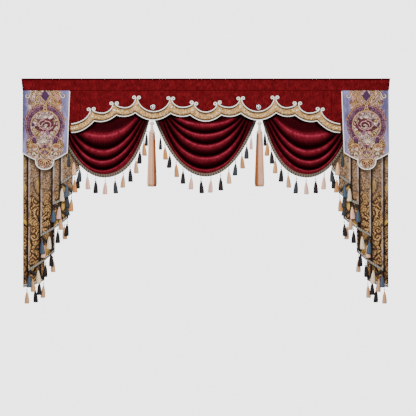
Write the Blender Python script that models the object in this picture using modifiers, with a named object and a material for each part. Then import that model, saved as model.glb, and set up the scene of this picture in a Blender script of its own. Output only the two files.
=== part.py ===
"""Swag and tail drape: a velvet header and pelmet with three swags, two stacked tails,
two hanging side panels, a scalloped gold band, scroll cords, fringes and big tassels.

World axes: X to the right, Y towards the wall, +Z up. The origin is on the wall plane,
at the middle of the top edge. Sizes in the tables are millimetres: x from the middle,
drop below the top edge, and out from the wall. The left half is given, and the right
half mirrors it.
"""
import math
from collections import namedtuple

import bmesh
import bpy
from mathutils import Vector

NAME = "swag_and_tail_drape"
MM = 0.001
SEAM_GAP = 0.3              # between two pieces that lie on each other

# Header: a strip folded over the tops of the other pieces
HEADER_HALF_TOP = 1103
HEADER_HALF_FOOT = 1095
HEADER_HEIGHT = 73
HEADER_DEPTH = 33.1
HEADER_CLOTH = 2.5
TUCK_DROP = HEADER_CLOTH + SEAM_GAP      # where the tucked pieces end inside the fold

# Cloths, and how far from the wall each one hangs
CLOTH = 2.0
TAIL_CLOTH = 1.5
TAIL_BACK_OUT = 3.55
HANG_OUT = 24.5
PELMET_OUT = 27.0
PANEL_OUT = 29.3

# Gold band on the pelmet
BAND_HALF = 808
BAND_OUT = PELMET_OUT + CLOTH + SEAM_GAP
CORD_RADIUS = 3.5
CORD_OUT = BAND_OUT + CLOTH / 2 + SEAM_GAP + CORD_RADIUS
CORD_HALF = 803
SCROLL_RADIUS = 10.5
SCROLL_END_RADIUS = 4.4
SCROLL_TURN = math.radians(270)
SCALLOP_POWER = 1.9
SCALLOP_STEPS = 6
DIP_STEPS = 6

# Lower edge of the band: cusps from the outer end to the middle, and the dip between them
Cusp = namedtuple("Cusp", "x drop dip_to_next")
CUSPS = (
    Cusp(-824, 321, 26),
    Cusp(-666, 254, 19),
    Cusp(-534, 220, 15),
    Cusp(-421, 206, 42.5),
    Cusp(-210, 209, 14.6),
    Cusp(-93, 219, 38),
    Cusp(93, 219, 0),
)

# Upper edge of the band: scroll centres at the two ends of each U, and the U's lowest drop
Scallop = namedtuple("Scallop", "left_x left_drop right_x right_drop low_drop")
END_SCALLOP = Scallop(-930, 200, -700, 188, 274)
SCALLOPS = (
    Scallop(-668, 185, -565, 152, 209),
    Scallop(-530, 151, -429, 116, 177),
    Scallop(-398, 117, -224, 121, 200),
    Scallop(-194, 123, -85, 146, 175),
)
MIDDLE_SCALLOP = Scallop(-56, 154, 56, 154, 203)

STUD_X = 316.5
STUD_DROP = 173
STUD_HEIGHT = 9
STUD_PROFILE = ((0.0, 0.0), (7.5, 1.6), (12.5, 4.6), (15.0, STUD_HEIGHT), (0.0, STUD_HEIGHT))

# Swags: a row for each ridge, from the flat top to the foot of the braid. The first and
# last columns are where the pleat meets the header. full_left and full_right say how
# square the curve is between its low point and each end.
Ridge = namedtuple("Ridge", "left_top left_x left_drop low_x low_drop "
                            "right_x right_drop right_top full_left full_right out")
MIDDLE_FLAT = (
    Ridge(-160, -140, 3, 0, 3, 140, 3, 160, 1, 1, HANG_OUT),
    Ridge(-175, -170, 110, 0, 120, 170, 110, 175, 1, 1, HANG_OUT),
    Ridge(-190, -188, 195, 0, 232, 188, 195, 190, 1, 1, HANG_OUT),
)
MIDDLE_RIDGES = (
    Ridge(-205, -203, 218, 3, 279, 203, 218, 205, 1.5, 1.5, 54),
    Ridge(-222, -221, 226, -3, 341, 221, 226, 222, 1.5, 1.5, 68),
    Ridge(-238, -237, 231, 4, 407, 237, 231, 238, 1.5, 1.5, 77),
    Ridge(-255, -253, 236, -2, 481, 253, 236, 255, 2.4, 2.4, 80),
    Ridge(-272, -268, 240, 2, 551, 268, 240, 272, 2.4, 2.4, 73),
    Ridge(-290, -291, 243, 0, 570, 291, 243, 290, 1.6, 1.6, 62),
)
MIDDLE_BRAID = Ridge(-309, -309, 243, 0, 589, 309, 243, 309, 1.5, 1.5, 58)
SIDE_FLAT = (
    Ridge(-700, -690, 3, -600, 3, -480, 3, -470, 1, 1, HANG_OUT),
    Ridge(-730, -727, 120, -600, 130, -457, 110, -452, 1, 1, HANG_OUT),
    Ridge(-755, -758, 272, -605, 246, -438, 190, -432, 1, 1, HANG_OUT),
)
SIDE_RIDGES = (
    Ridge(-780, -778, 300, -616, 345, -398, 226, -397, 1.4, 1.0, 62),
    Ridge(-800, -800, 316, -610, 438, -381, 235, -380, 1.5, 1.0, 75),
    Ridge(-818, -818, 323, -615, 501, -366, 241, -365, 1.5, 1.5, 80),
    Ridge(-835, -836, 328, -616, 557, -354, 245, -354, 1.5, 2.0, 73),
    Ridge(-850, -850, 330, -606, 576, -346, 246, -346, 1.5, 2.6, 62),
)
SIDE_BRAID = Ridge(-866, -866, 330, -604, 595, -336, 246, -336, 1.5, 2.8, 58)

# Section of a rolled fold: share of the way to the next ridge, and how far set back
FOLD_SECTION = ((0.0, 0.0), (0.33, 0.2), (0.66, 0.72), (0.89, 1.0))
FOLD_DEPTH = 44
SWAG_COLUMNS = 13
BRAID_GAP = 0.05            # share of the braid's width between the cloth and the braid
FRINGE_ROOT = 0.7           # where a tassel's cord starts, as a share of the braid's width

# Tails: where the folds lie, from the outer edge at the back to the inner end in front
Fold = namedtuple("Fold", "x hem_drop")
TAIL_FOLDS = (
    Fold(-1096, 1252),
    Fold(-966, 1208),
    Fold(-1062, 1154),
    Fold(-903, 1039),
    Fold(-988, 947),
    Fold(-821, 836),
    Fold(-914, 757),
    Fold(-795, 688),
    Fold(-865, 633),
    Fold(-755, 547),
)
TAIL_PITCH = 2.1            # between two layers, at the header
TAIL_SPREAD = 0.008         # how fast the layers part below SPREAD_DROP
SPREAD_DROP = 390
TURN_INSET = 2.0            # how far a fold's round edge reaches past its layers
TAIL_BELLY = 8              # how far the hem of a front layer curves down
TAIL_SHARES = (0.0, 0.2, 0.47, 0.74, 1.0)
TAIL_BRAID = 16
RIPPLE = 7
RIPPLE_LENGTH = 118

# Small tassels of a tail: the layer that each one hangs from, and its place
TailTassel = namedtuple("TailTassel", "layer x")
TAIL_TASSELS = (
    TailTassel(1, -1072), TailTassel(1, -1022), TailTassel(1, -972),
    TailTassel(2, -1036), TailTassel(2, -996),
    TailTassel(3, -1053), TailTassel(3, -1002), TailTassel(3, -957), TailTassel(3, -914),
    TailTassel(4, -923), TailTassel(4, -966),
    TailTassel(5, -978), TailTassel(5, -931), TailTassel(5, -883), TailTassel(5, -845),
    TailTassel(5, -826),
    TailTassel(6, -867),
    TailTassel(7, -908), TailTassel(7, -872), TailTassel(7, -829), TailTassel(7, -801),
    TailTassel(8, -826),
    TailTassel(9, -858), TailTassel(9, -826), TailTassel(9, -783), TailTassel(9, -763),
)
MIDDLE_TASSELS = 14
SIDE_TASSELS = 13
# Shares of the braid before the first tassel and after the last one
BARE_ENDS = {MIDDLE_TASSELS: (0.091, 0.088), SIDE_TASSELS: (0.118, 0.062)}

# A small tassel: share of its length, half width and half depth
Ring = namedtuple("Ring", "share half_width half_depth")
SMALL_TASSEL = (
    Ring(0.0, 1.5, 1.5),
    Ring(0.28, 1.5, 1.5),
    Ring(0.35, 5.0, 4.0),
    Ring(1.0, 13.0, 6.0),
)
SMALL_TASSEL_LENGTH = 111
TASSEL_CLEARANCE = 1.0
FREE_SPACE = 14             # behind the hem of a swag

# Big tassels between the swags
BIG_TASSEL_X = -321
BIG_TASSEL_OUT = 36
BEAD_PROFILE = ((0.0, 253.4), (2.5, 253.4), (2.5, 259.6), (8.5, 262.6), (12.0, 271.0),
                (8.5, 279.4), (0.0, 283.0))
HEAD_PROFILE = ((0.0, 283.3), (5.5, 285.0), (5.5, 291.0), (7.5, 300.0), (9.5, 309.0),
                (12.0, 318.0), (17.0, 326.0), (17.5, 331.0), (0.0, 333.0))
SKIRT_STRANDS = 12
STRAND = (
    (320.0, 11.5, 2.8, 4.5),
    (336.0, 15.6, 3.8, 5.2),
    (430.0, 18.2, 4.5, 6.4),
    (622.0, 23.6, 5.8, 7.4),
    (649.0, 21.5, 4.0, 4.5),
)

# Side panels
PANEL_OUTER_X = -1092
PANEL_INNER_TOP = -811
PANEL_INNER_FOOT = -826
PANEL_SIDE_DROP = 446
PANEL_SHOULDER_DROP = 487
PANEL_LOBE_X = -960
PANEL_LOBE_HALF = 53
PANEL_LOBE_DROP = 501
PANEL_LOBE_DEPTH = 45
PANEL_LEAN = 0.05
LEAN_DROP = 100             # above it the panel is flat under the header
PANEL_WAVE = 2.0


def point(x, out, drop):
    """A place from its x, its distance out from the wall and its drop, in millimetres."""
    return Vector((x, -out, -drop)) * MM


def between(first, second, share):
    """The value, or the row of values, at a share of the way from first to second."""
    if isinstance(first, tuple):
        return type(first)(*(between(a, b, share) for a, b in zip(first, second)))
    return first + (second - first) * share


def mirrored(points):
    return [Vector((-p.x, p.y, p.z)) for p in points]


# ---------------------------------------------------------------- scene and materials

def clear_scene():
    for old in list(bpy.data.objects):
        bpy.data.objects.remove(old)


def new_collection(name):
    collection = bpy.data.collections.new(name)
    bpy.context.scene.collection.children.link(collection)
    return collection


def material(name, colour, roughness, metallic=0.0):
    made = bpy.data.materials.new(name)
    made.use_nodes = True
    shader = made.node_tree.nodes["Principled BSDF"]
    shader.inputs["Base Color"].default_value = (*colour, 1.0)
    shader.inputs["Roughness"].default_value = roughness
    shader.inputs["Metallic"].default_value = metallic
    return made


def add_mesh(name, bm, collection, finish):
    mesh = bpy.data.meshes.new(name)
    bm.to_mesh(mesh)
    bm.free()
    mesh.materials.append(material(name, *finish))
    mesh.shade_smooth()
    made = bpy.data.objects.new(name, mesh)
    collection.objects.link(made)
    return made


def as_cutter(made):
    made.hide_render = True
    made.display_type = "WIRE"
    return made


# ---------------------------------------------------------------- ways of making pieces

def sheet(name, lines, thickness, collection, finish):
    """A sheet of cloth through lines of points, all with as many points."""
    bm = bmesh.new()
    columns = len(lines[0])
    grid = bmesh.ops.create_grid(bm, x_segments=columns - 1, y_segments=len(lines) - 1, size=1)
    places = [place for line in lines for place in line]
    for vert, place in zip(grid["verts"], places, strict=True):
        vert.co = place
    made = add_mesh(name, bm, collection, finish)
    solidify = made.modifiers.new("cloth", "SOLIDIFY")
    solidify.thickness = thickness * MM
    solidify.offset = 0
    return made


def cord(name, places, radius, collection, finish):
    """A round cord along a list of points."""
    curve = bpy.data.curves.new(name, "CURVE")
    curve.dimensions = "3D"
    curve.bevel_depth = radius * MM
    curve.bevel_resolution = 1
    curve.use_fill_caps = True
    curve.materials.append(material(name, *finish))
    spline = curve.splines.new("POLY")
    spline.points.add(len(places) - 1)
    for spot, place in zip(spline.points, places):
        spot.co = (*place, 1)
    made = bpy.data.objects.new(name, curve)
    collection.objects.link(made)
    return made


def turned(name, profile, steps, collection, finish):
    """A turned piece about the Z axis, from pairs of radius and drop."""
    bm = bmesh.new()
    verts = [bm.verts.new((radius * MM, 0, -drop * MM)) for radius, drop in profile]
    for upper, lower in zip(verts, verts[1:]):
        bm.edges.new((upper, lower))
    made = add_mesh(name, bm, collection, finish)
    screw = made.modifiers.new("turn", "SCREW")
    screw.steps = steps
    screw.render_steps = steps
    screw.use_merge_vertices = True
    screw.merge_threshold = 0.00001
    return made


def add_strand(bm, rings):
    """A four-sided strand through rings of (centre, half width vector, half depth vector)."""
    centre, across, deep = rings[0]
    loop = bmesh.ops.create_circle(bm, cap_ends=False, segments=4, radius=1)["verts"]
    for vert, (side, front) in zip(loop, ((-1, -1), (1, -1), (1, 1), (-1, 1))):
        vert.co = centre + across * side + deep * front
    edges = list({edge for vert in loop for edge in vert.link_edges})
    ends = [edges]
    for centre, across, deep in rings[1:]:
        before = {vert.co.copy().freeze(): index for index, vert in enumerate(loop)}
        grown = bmesh.ops.extrude_edge_only(bm, edges=edges)["geom"]
        fresh = [part for part in grown if isinstance(part, bmesh.types.BMVert)]
        loop = sorted(fresh, key=lambda vert: before[vert.co.copy().freeze()])
        for vert, (side, front) in zip(loop, ((-1, -1), (1, -1), (1, 1), (-1, 1))):
            vert.co = centre + across * side + deep * front
        edges = [part for part in grown if isinstance(part, bmesh.types.BMEdge)
                 and all(vert in fresh for vert in part.verts)]
    ends.append(edges)
    for end in ends:
        bmesh.ops.edgeloop_fill(bm, edges=end)


def strands(name, all_rings, cutters):
    """Strands as one mesh, to be fused to the backing that holds them."""
    bm = bmesh.new()
    for rings in all_rings:
        add_strand(bm, rings)
    bmesh.ops.recalc_face_normals(bm, faces=bm.faces)
    return as_cutter(add_mesh(name, bm, cutters, THREAD))


def fuse(backing, added):
    union = backing.modifiers.new("roots", "BOOLEAN")
    union.operation = "UNION"
    union.object = added


# ---------------------------------------------------------------- outlines of the band

def lower_edge(x):
    """Drop of the band's lower edge, a shallow dip between each pair of cusps."""
    x = -abs(x)
    for cusp, following in zip(CUSPS, CUSPS[1:]):
        if x <= following.x:
            share = (x - cusp.x) / (following.x - cusp.x)
            dip = 4 * cusp.dip_to_next * share * (1 - share)
            return between(cusp.drop, following.drop, share) + dip
    return CUSPS[-1].drop


def scallop_drop(scallop, x):
    """Drop of one U of the upper edge."""
    left = scallop.left_x - SCROLL_RADIUS
    right = scallop.right_x + SCROLL_RADIUS
    side = 2 * (x - left) / (right - left) - 1
    top = scallop.left_drop if side < 0 else scallop.right_drop
    rise = 1 - max(0.0, 1 - abs(side) ** SCALLOP_POWER) ** (1 / SCALLOP_POWER)
    return between(scallop.low_drop, top, rise)


def scallop_places(scallop, steps):
    """x places along one U, closer together where it rises."""
    left = scallop.left_x - SCROLL_RADIUS
    right = scallop.right_x + SCROLL_RADIUS
    return [between(left, right, 0.5 - 0.5 * math.cos(math.pi * k / steps))
            for k in range(steps + 1)]


def band_outline():
    """Columns of the band from its outer left end to the middle: x, upper and lower drop."""
    columns = {}
    for scallop in (END_SCALLOP, *SCALLOPS, MIDDLE_SCALLOP):
        for x in scallop_places(scallop, SCALLOP_STEPS):
            if -BAND_HALF < x <= 0.001:
                columns[round(x, 3)] = scallop_drop(scallop, x)
    columns[-BAND_HALF] = scallop_drop(END_SCALLOP, -BAND_HALF)
    return sorted((x, upper) for x, upper in columns.items())


def scroll(centre_x, centre_drop, side, steps=4):
    """The curl of a cord, from its open end in the middle out to the U. side -1 is left."""
    places = []
    for k in range(steps, 0, -1):
        turn = SCROLL_TURN * k / steps
        radius = between(SCROLL_RADIUS, SCROLL_END_RADIUS, k / steps)
        places.append((centre_x + side * radius * math.cos(turn),
                       centre_drop - radius * math.sin(turn)))
    return places


def scallop_cord(scallop, left_scroll=True):
    """Points of the cord of one U with its scrolls."""
    flat = []
    if left_scroll:
        flat += scroll(scallop.left_x, scallop.left_drop, -1)
    flat += [(x, scallop_drop(scallop, x)) for x in scallop_places(scallop, SCALLOP_STEPS)
             if x > -CORD_HALF]
    flat += reversed(scroll(scallop.right_x, scallop.right_drop, 1))
    if not left_scroll:
        flat.insert(0, (-CORD_HALF, scallop_drop(scallop, -CORD_HALF)))
    return [point(x, CORD_OUT, drop) for x, drop in flat]


# ---------------------------------------------------------------- where the layers hang

def tail_pitch(drop):
    return TAIL_PITCH + TAIL_SPREAD * max(0, drop - SPREAD_DROP)


def ripple(x, drop):
    """A soft wave that all the layers of a tail share, deeper towards the hem."""
    strength = max(0, drop - SPREAD_DROP) / (TAIL_FOLDS[0].hem_drop - SPREAD_DROP)
    return RIPPLE * strength * (0.5 - 0.5 * math.cos(2 * math.pi * (x + 1096) / RIPPLE_LENGTH))


def tail_out(layer, x, drop):
    """How far out a layer of a tail hangs. Layer 1 is at the back."""
    return TAIL_BACK_OUT + (layer - 1) * tail_pitch(drop) + ripple(x, drop)


def panel_out(x, drop):
    below = max(0, drop - LEAN_DROP)
    lean = PANEL_LEAN * below
    wave = PANEL_WAVE * math.sin((x + 1092) / 42) * below / 400
    return PANEL_OUT + lean + wave


def swag_front_limit(x, drop, reach):
    """A swag stays behind the band above its lower edge, and behind the side panel."""
    edge = max(lower_edge(x + aside) for aside in (-45, -30, -15, 0, 15, 30, 45))
    below_band = HANG_OUT + 1.4 * max(0, drop - edge - 6 - 18 * reach * reach)
    behind_panel = panel_out(-abs(x), drop) - 5.5 + 0.9 * max(0, 822 - abs(x))
    return min(below_band, behind_panel)


def swag_back_limit(drop):
    return HANG_OUT + 0.1 * max(0, drop - 332)


# ---------------------------------------------------------------- swags

def sag(reach, fullness):
    """How far a hanging curve has risen from its low point, at a share of its reach."""
    return (math.cosh(fullness * reach) - 1) / (math.cosh(fullness) - 1)


def ridge_point(ridge, turn, set_back):
    """A point on a hanging line of a swag. turn runs from -1, its left end, to 1."""
    reach = abs(math.sin(math.pi / 2 * turn))
    end_x, end_drop, fullness = (
        (ridge.left_x, ridge.left_drop, ridge.full_left) if turn < 0
        else (ridge.right_x, ridge.right_drop, ridge.full_right))
    x = between(ridge.low_x, end_x, reach)
    drop = between(ridge.low_drop, end_drop, sag(reach, fullness))
    fold = max(0, 1 - reach * reach) ** 0.35
    out = HANG_OUT + (ridge.out - HANG_OUT - set_back * FOLD_DEPTH) * fold
    out = min(max(out, swag_back_limit(drop)), max(swag_front_limit(x, drop, reach), HANG_OUT))
    return point(x, out, drop)


def hanging_line(ridge, set_back=0.0):
    return [ridge_point(ridge, 2 * k / (SWAG_COLUMNS - 1) - 1, set_back)
            for k in range(SWAG_COLUMNS)]


def pleated_line(ridge, set_back=0.0):
    """A hanging line with its pleats up to the header at both ends."""
    middle_left = between(ridge.left_top, ridge.left_x, 0.5)
    middle_right = between(ridge.right_top, ridge.right_x, 0.5)
    half_left = between(TUCK_DROP, ridge.left_drop, 0.6)
    half_right = between(TUCK_DROP, ridge.right_drop, 0.6)
    return [point(ridge.left_top, HANG_OUT, TUCK_DROP),
            point(middle_left, HANG_OUT, half_left),
            *hanging_line(ridge, set_back),
            point(middle_right, HANG_OUT, half_right),
            point(ridge.right_top, HANG_OUT, TUCK_DROP)]


def swag_lines(flat, ridges):
    """All the lines of a swag's cloth, from the header to the hem."""
    lines = [pleated_line(ridge) for ridge in flat]
    into_first = between(flat[-1], ridges[0], FOLD_SECTION[-1][0])
    lines.append(pleated_line(into_first._replace(out=HANG_OUT)))
    for ridge, following in zip(ridges, ridges[1:]):
        for share, set_back in FOLD_SECTION:
            if following is ridges[-1] and share > 0.5:
                continue
            lines.append(pleated_line(between(ridge, following, share), set_back))
    lines.append(pleated_line(ridges[-1]))
    return lines


def braid_lines(hem, foot):
    return [hanging_line(between(hem, foot, share)) for share in (BRAID_GAP, 1.0)]


# ---------------------------------------------------------------- tassels

class TasselRow:
    """Small tassels, each one laid in front of those that hang behind it."""

    def __init__(self):
        self.placed = []

    def add(self, root, out_behind, length, width=1.0):
        """Rings of a tassel from a root on the braid. Its skirt clears what is behind."""
        skirt = SMALL_TASSEL[-1]
        x, out, drop = root
        front = out_behind
        for other_x, other_drop, other_length, other_width, taken in self.placed:
            level = min(drop + length, other_drop + other_length)
            room = (skirt_width((level - drop) / length) * width
                    + skirt_width((level - other_drop) / other_length) * other_width)
            if abs(x - other_x) < room + TASSEL_CLEARANCE:
                front = max(front, taken + TASSEL_CLEARANCE)
        centre = max(out, front + skirt.half_depth * width)
        self.placed.append((x, drop, length, width, centre + skirt.half_depth * width))
        rings = []
        for ring in SMALL_TASSEL:
            forward = min(1, ring.share / SMALL_TASSEL[2].share)
            place = point(x, between(out, centre, forward), drop + ring.share * length)
            rings.append((place, Vector((ring.half_width * width * MM, 0, 0)),
                          Vector((0, ring.half_depth * width * MM, 0))))
        return rings


def skirt_width(share):
    """Half width of a small tassel at a share of its length, or none outside it."""
    for ring, following in zip(SMALL_TASSEL, SMALL_TASSEL[1:]):
        if ring.share <= share <= following.share:
            way = (share - ring.share) / (following.share - ring.share)
            return between(ring.half_width, following.half_width, way)
    return -1000


def tassel_length(index):
    """Slightly uneven lengths."""
    return SMALL_TASSEL_LENGTH * (0.95 + 0.09 * ((index * 0.618) % 1))


def fringe_roots(hem, foot, count):
    """Equal steps along the braid, from its left end to its right end."""
    places = [place / MM for place in hanging_line(between(hem, foot, FRINGE_ROOT))]
    lengths = [(second - first).length for first, second in zip(places, places[1:])]
    roots = []
    for k in range(count):
        before, after = BARE_ENDS[count]
        share = between(before, 1 - after, k / (count - 1))
        wanted = sum(lengths) * share
        index = 0
        while wanted > lengths[index]:
            wanted -= lengths[index]
            index += 1
        place = places[index].lerp(places[index + 1], wanted / lengths[index])
        roots.append((place.x, -place.y, -place.z))
    return roots


def swag_tassels(hem, foot, count, row):
    """The outer tassels of a side swag hang in front of its tail."""
    rings = []
    front_layer = len(TAIL_FOLDS) - 1
    for index, (x, out, drop) in enumerate(fringe_roots(hem, foot, count)):
        width = 0.7 if index in (0, count - 1) else 1.0
        length = tassel_length(index)
        behind = out - FREE_SPACE
        if x < TAIL_FOLDS[-1].x + SMALL_TASSEL[-1].half_width:
            behind = max(behind, tail_out(front_layer, x, drop + length) + TAIL_CLOTH)
        rings.append(row.add((x, out, drop), behind, length, width))
    return rings


def tail_hem(layer, x):
    """Drop of the hem of one layer of a tail."""
    first, second = TAIL_FOLDS[layer - 1], TAIL_FOLDS[layer]
    share = (x - first.x) / (second.x - first.x)
    belly = TAIL_BELLY * math.sin(math.pi * share) if layer % 2 else 0
    return between(first.hem_drop, second.hem_drop, share) + belly


def tail_root(layer, x):
    """Where a tassel is fused to the braid of a layer: x, out and drop."""
    columns = [(place, hem) for column, place, hem in tail_columns() if column == layer]
    for (first_x, first_hem), (second_x, second_hem) in zip(columns, columns[1:]):
        share = (x - first_x) / (second_x - first_x)
        if 0 <= share <= 1:
            out = between(tail_out(layer, first_x, first_hem),
                          tail_out(layer, second_x, second_hem), share)
            hem = between(first_hem, second_hem, share)
            return x, out, hem - (1 - FRINGE_ROOT) * TAIL_BRAID
    raise ValueError(f"no braid at {x} on layer {layer}")


def tail_tassels(row):
    rings = []
    for index, (layer, x) in enumerate(TAIL_TASSELS):
        root = tail_root(layer, x)
        behind = tail_out(layer, x, root[2] + SMALL_TASSEL_LENGTH)
        if layer == 1:
            behind = SEAM_GAP
        rings.append(row.add(root, behind, tassel_length(index)))
    return rings


def mirror_rings(all_rings):
    return [[(Vector((-place.x, place.y, place.z)), across, deep)
             for place, across, deep in rings] for rings in all_rings]


# ---------------------------------------------------------------- tails

def tail_columns():
    """Columns across a folded tail: layer (a half for a turn), x and hem drop."""
    columns = []
    last = len(TAIL_FOLDS) - 1
    for layer in range(1, last + 1):
        first, second = TAIL_FOLDS[layer - 1], TAIL_FOLDS[layer]
        way = 1 if second.x > first.x else -1
        start = first.x + (TURN_INSET * way if layer > 1 else 0)
        end = second.x - (TURN_INSET * way if layer < last else 0)
        for share in (0, 0.5, 1):
            x = between(start, end, share)
            columns.append((layer, x, tail_hem(layer, x)))
        if layer < last:
            columns.append((layer + 0.5, second.x, second.hem_drop))
    return columns


def tail_lines(shares, top_of, foot_of):
    """Lines across a tail, each at a share of the way from one drop to another."""
    lines = []
    for share in shares:
        line = []
        for layer, x, hem in tail_columns():
            drop = between(top_of(hem), foot_of(hem), share)
            line.append(point(x, tail_out(layer, x, drop), drop))
        lines.append(line)
    return lines


# ---------------------------------------------------------------- side panels

def panel_foot(x):
    """Drop of the panel's lower edge: two sloping shoulders and a round lobe between."""
    across = abs(x - PANEL_LOBE_X)
    if across <= PANEL_LOBE_HALF:
        lobe = math.sqrt(max(0.0, 1 - (across / PANEL_LOBE_HALF) ** 2))
        return PANEL_LOBE_DROP + PANEL_LOBE_DEPTH * lobe
    half = PANEL_INNER_FOOT - PANEL_LOBE_X
    share = (across - PANEL_LOBE_HALF) / (half - PANEL_LOBE_HALF)
    return between(PANEL_SHOULDER_DROP, PANEL_SIDE_DROP, share ** 1.25)


def panel_places():
    """x places across the foot of the panel, with the corners of the lobe."""
    half = PANEL_INNER_FOOT - PANEL_LOBE_X
    lobe = [PANEL_LOBE_HALF * math.sin(math.pi / 2 * k / 4) for k in range(5)]
    shoulder = [between(PANEL_LOBE_HALF + 1.5, half, k / 3) for k in range(4)]
    right = lobe + shoulder
    return [PANEL_LOBE_X - x for x in reversed(right[1:])] + [PANEL_LOBE_X + x for x in right]


def panel_point(foot_x, share, forward=0.0):
    """A point of the panel, from its place at the foot and its share of the drop."""
    spread = (foot_x - PANEL_OUTER_X) / (PANEL_INNER_FOOT - PANEL_OUTER_X)
    top_x = between(PANEL_OUTER_X, PANEL_INNER_TOP, spread)
    x = between(top_x, foot_x, share)
    drop = between(TUCK_DROP, panel_foot(foot_x), share)
    return point(x, panel_out(x, drop) + forward, drop)


def panel_cord():
    """Points of the piping: down the inner edge and along the foot."""
    forward = CLOTH / 2 + SEAM_GAP + CORD_RADIUS
    top_share = (HEADER_HEIGHT + CORD_RADIUS) / PANEL_SIDE_DROP
    inner = [panel_point(PANEL_INNER_FOOT, between(top_share, 1, k / 6), forward)
             for k in range(7)]
    foot = [panel_point(x, 1, forward) for x in reversed(panel_places()[:-1])]
    return inner + foot


# ---------------------------------------------------------------- finishes

VELVET = ((0.30, 0.008, 0.016), 0.75)
HEADER_VELVET = ((0.22, 0.006, 0.012), 0.78)
BROCADE = ((0.62, 0.42, 0.22), 0.55)
IVORY = ((0.86, 0.80, 0.68), 0.5)
SATIN = ((0.48, 0.46, 0.62), 0.38)
JACQUARD = ((0.34, 0.20, 0.07), 0.5)
THREAD = ((0.58, 0.42, 0.30), 0.55)
CREAM_THREAD = ((0.80, 0.62, 0.50), 0.42)
SILVER = ((0.72, 0.72, 0.74), 0.25, 1.0)


# ---------------------------------------------------------------- pieces

def make_header(parts):
    inner = HEADER_CLOTH / 2
    section = ((inner, HEADER_HEIGHT), (inner, inner),
               (HEADER_DEPTH - inner, inner), (HEADER_DEPTH - inner, HEADER_HEIGHT))
    lines = []
    for end in (-1, 1):
        line = []
        for out, drop in section:
            half = between(HEADER_HALF_TOP, HEADER_HALF_FOOT, drop / HEADER_HEIGHT)
            line.append(point(end * half, out, drop))
        lines.append(line)
    header = sheet("header", lines, HEADER_CLOTH, parts, HEADER_VELVET)
    header.modifiers["cloth"].use_even_offset = True


def make_pelmet(parts):
    """The lower edge stays just above the band's, behind the band."""
    places = []
    for cusp, following in zip(CUSPS, CUSPS[1:]):
        places += [between(cusp.x, following.x, k / 4) for k in range(4)]
    places = [x for x in places if x < 0]
    places += [0] + [-x for x in reversed(places)]
    lines = [[point(x, PELMET_OUT, TUCK_DROP) for x in places],
             [point(x, PELMET_OUT, lower_edge(x) - 2) for x in places]]
    sheet("pelmet", lines, CLOTH, parts, VELVET)


def make_band(parts):
    left = band_outline()
    columns = left + [(-x, upper) for x, upper in reversed(left) if x < -0.001]
    lines = [[point(x, BAND_OUT, upper) for x, upper in columns],
             [point(x, BAND_OUT, lower_edge(x)) for x, upper in columns]]
    sheet("gold_band", lines, CLOTH, parts, BROCADE)


def make_band_cords(parts):
    left = [scallop_cord(END_SCALLOP, left_scroll=False)]
    left += [scallop_cord(scallop) for scallop in SCALLOPS]
    right = [mirrored(places) for places in reversed(left)]
    for number, places in enumerate(left + [scallop_cord(MIDDLE_SCALLOP)] + right, 1):
        cord(f"scroll_cord_{number:02d}", places, CORD_RADIUS, parts, IVORY)
    places = [-CORD_HALF]
    for cusp, following in zip(CUSPS, CUSPS[1:]):
        places += [between(cusp.x, following.x, k / DIP_STEPS) for k in range(DIP_STEPS)]
    places = sorted(x for x in places if -CORD_HALF <= x < 0)
    places += [0] + [-x for x in reversed(places)]
    cord("lower_piping", [point(x, CORD_OUT, lower_edge(x)) for x in places],
         CORD_RADIUS, parts, IVORY)


def make_studs(parts):
    for name, side in (("stud_left", -1), ("stud_right", 1)):
        stud = turned(name, STUD_PROFILE, 10, parts, SILVER)
        stud.rotation_euler = (math.radians(90), 0, 0)
        face = PELMET_OUT + CLOTH / 2 + SEAM_GAP + STUD_HEIGHT
        stud.location = point(side * STUD_X, face, STUD_DROP)


def make_swag(name, flat, ridges, parts, flip=False):
    lines = swag_lines(flat, ridges)
    if flip:
        lines = [mirrored(line) for line in lines]
    sheet(f"swag_{name}", lines, CLOTH, parts, VELVET)


def make_swag_fringe(name, lines, rings, parts, cutters, flip=False):
    if flip:
        lines = [mirrored(line) for line in lines]
        rings = mirror_rings(rings)
    braid = sheet(f"swag_fringe_{name}", lines, CLOTH, parts, THREAD)
    fuse(braid, strands(f"swag_tassels_{name}", rings, cutters))


def make_tail(name, rings, parts, cutters, flip=False):
    cloth = tail_lines(TAIL_SHARES, lambda hem: TUCK_DROP, lambda hem: hem - TAIL_BRAID)
    braid = tail_lines((0.0, 1.0), lambda hem: hem - TAIL_BRAID + 2 * SEAM_GAP, lambda hem: hem)
    if flip:
        cloth = [mirrored(line) for line in cloth]
        braid = [mirrored(line) for line in braid]
        rings = mirror_rings(rings)
    sheet(f"tail_{name}", cloth, TAIL_CLOTH, parts, JACQUARD)
    backing = sheet(f"tail_fringe_{name}", braid, TAIL_CLOTH, parts, THREAD)
    fuse(backing, strands(f"tail_tassels_{name}", rings, cutters))


def make_big_tassel(name, x, parts, cutters):
    head = turned(f"big_tassel_{name}", HEAD_PROFILE, 10, parts, CREAM_THREAD)
    head.location = point(x, BIG_TASSEL_OUT, 0)
    all_rings = []
    for k in range(SKIRT_STRANDS):
        angle = 2 * math.pi * (k + 0.5) / SKIRT_STRANDS
        outward = Vector((math.cos(angle), math.sin(angle), 0))
        sideways = Vector((-math.sin(angle), math.cos(angle), 0))
        rings = []
        for drop, ring_radius, half_width, half_depth in STRAND:
            place = point(x, BIG_TASSEL_OUT, drop) + outward * ring_radius * MM
            across = sideways * half_width * MM / 2
            deep = outward * half_depth * MM / 2
            rings.append((place, across + deep, across - deep))
        all_rings.append(rings)
    fuse(head, strands(f"skirt_strands_{name}", all_rings, cutters))
    bead = turned(f"tassel_bead_{name}", BEAD_PROFILE, 8, parts, CREAM_THREAD)
    bead.location = point(x, BIG_TASSEL_OUT, 0)


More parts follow.
